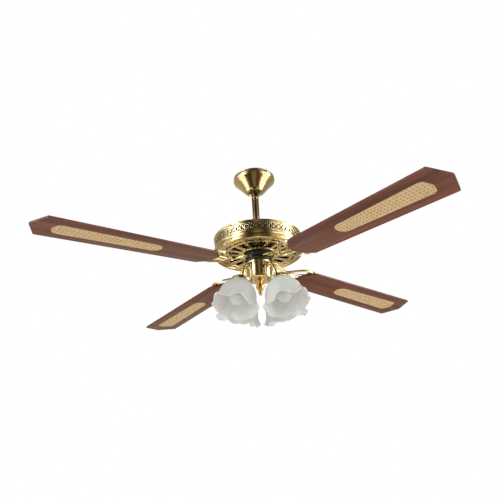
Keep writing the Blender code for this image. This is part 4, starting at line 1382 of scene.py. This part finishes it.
# %% Sky
def make_sky():
    """White behind the fan; for reflections and light, a pale room with soft dark bands."""
    world = bpy.data.worlds.new("studio")
    bpy.context.scene.world = world
    world.use_nodes = True
    tree = world.node_tree
    tree.nodes.clear()
    look = add_node(tree, "ShaderNodeTexCoord").outputs["Generated"]
    parts = add_node(tree, "ShaderNodeSeparateXYZ", {"Vector": look}).outputs
    turn = math(tree, "ARCTAN2", parts["Y"], parts["X"])
    front = VIEW_TURN - pi / 2
    local = math(tree, "SUBTRACT", turn, (front + pi) % tau - pi)
    share = math(tree, "FRACT", math(tree, "ADD", math(tree, "DIVIDE", local, tau), 1.5))
    widen = add_node(
        tree, "ShaderNodeMapRange",
        {"Value": parts["Z"], "From Min": -0.95, "From Max": -0.35, "To Min": 0.35, "To Max": 1.0},
    )
    off_front = math(tree, "SUBTRACT", share, 0.5)
    share = math(tree, "ADD", math(tree, "MULTIPLY", off_front, widen.outputs["Result"]), 0.5)
    bands = ramp(
        tree, share,
        [
            (0.00, (0.62, 0.55, 0.42)), (0.17, (0.42, 0.38, 0.30)), (0.24, (0.45, 0.42, 0.34)),
            (0.27, (1.70, 1.70, 1.66)), (0.39, (1.75, 1.75, 1.70)), (0.405, (0.30, 0.26, 0.16)),
            (0.43, (0.035, 0.030, 0.018)), (0.465, (0.05, 0.043, 0.025)), (0.49, (0.20, 0.18, 0.11)),
            (0.515, (0.22, 0.19, 0.12)), (0.54, (0.05, 0.043, 0.025)), (0.57, (0.035, 0.030, 0.018)),
            (0.60, (0.30, 0.26, 0.16)), (0.62, (1.75, 1.75, 1.72)), (0.73, (1.80, 1.80, 1.76)),
            (0.77, (0.45, 0.40, 0.30)), (0.84, (0.30, 0.27, 0.20)), (1.00, (0.62, 0.55, 0.42)),
        ],
    )
    height = add_node(tree, "ShaderNodeMapRange", {"Value": parts["Z"], "From Min": -1.0, "From Max": 1.0})
    tint = ramp(
        tree, height.outputs["Result"],
        [
            (0.0, (0.9, 0.82, 0.62)), (0.25, (1.0, 0.97, 0.88)), (0.50, (1.0, 1.0, 1.0)),
            (0.74, (0.85, 0.85, 0.82)), (0.80, (0.14, 0.12, 0.07)), (1.0, (0.12, 0.10, 0.06)),
        ],
    )
    reflected = mixed(tree, 1.0, bands, tint, "MULTIPLY")
    seen = add_node(tree, "ShaderNodeLightPath").outputs["Is Camera Ray"]
    glossy = add_node(tree, "ShaderNodeLightPath").outputs["Is Glossy Ray"]
    lit = mixed(tree, glossy, (0.80, 0.80, 0.79), reflected)
    color = mixed(tree, seen, lit, (1.0, 1.0, 1.0))
    shine = add_node(tree, "ShaderNodeBackground", {"Color": color, "Strength": 1.0})
    end = add_node(tree, "ShaderNodeOutputWorld")
    tree.links.new(shine.outputs["Background"], end.inputs["Surface"])


make_sky()
bpy.context.scene.view_settings.view_transform = "Standard"
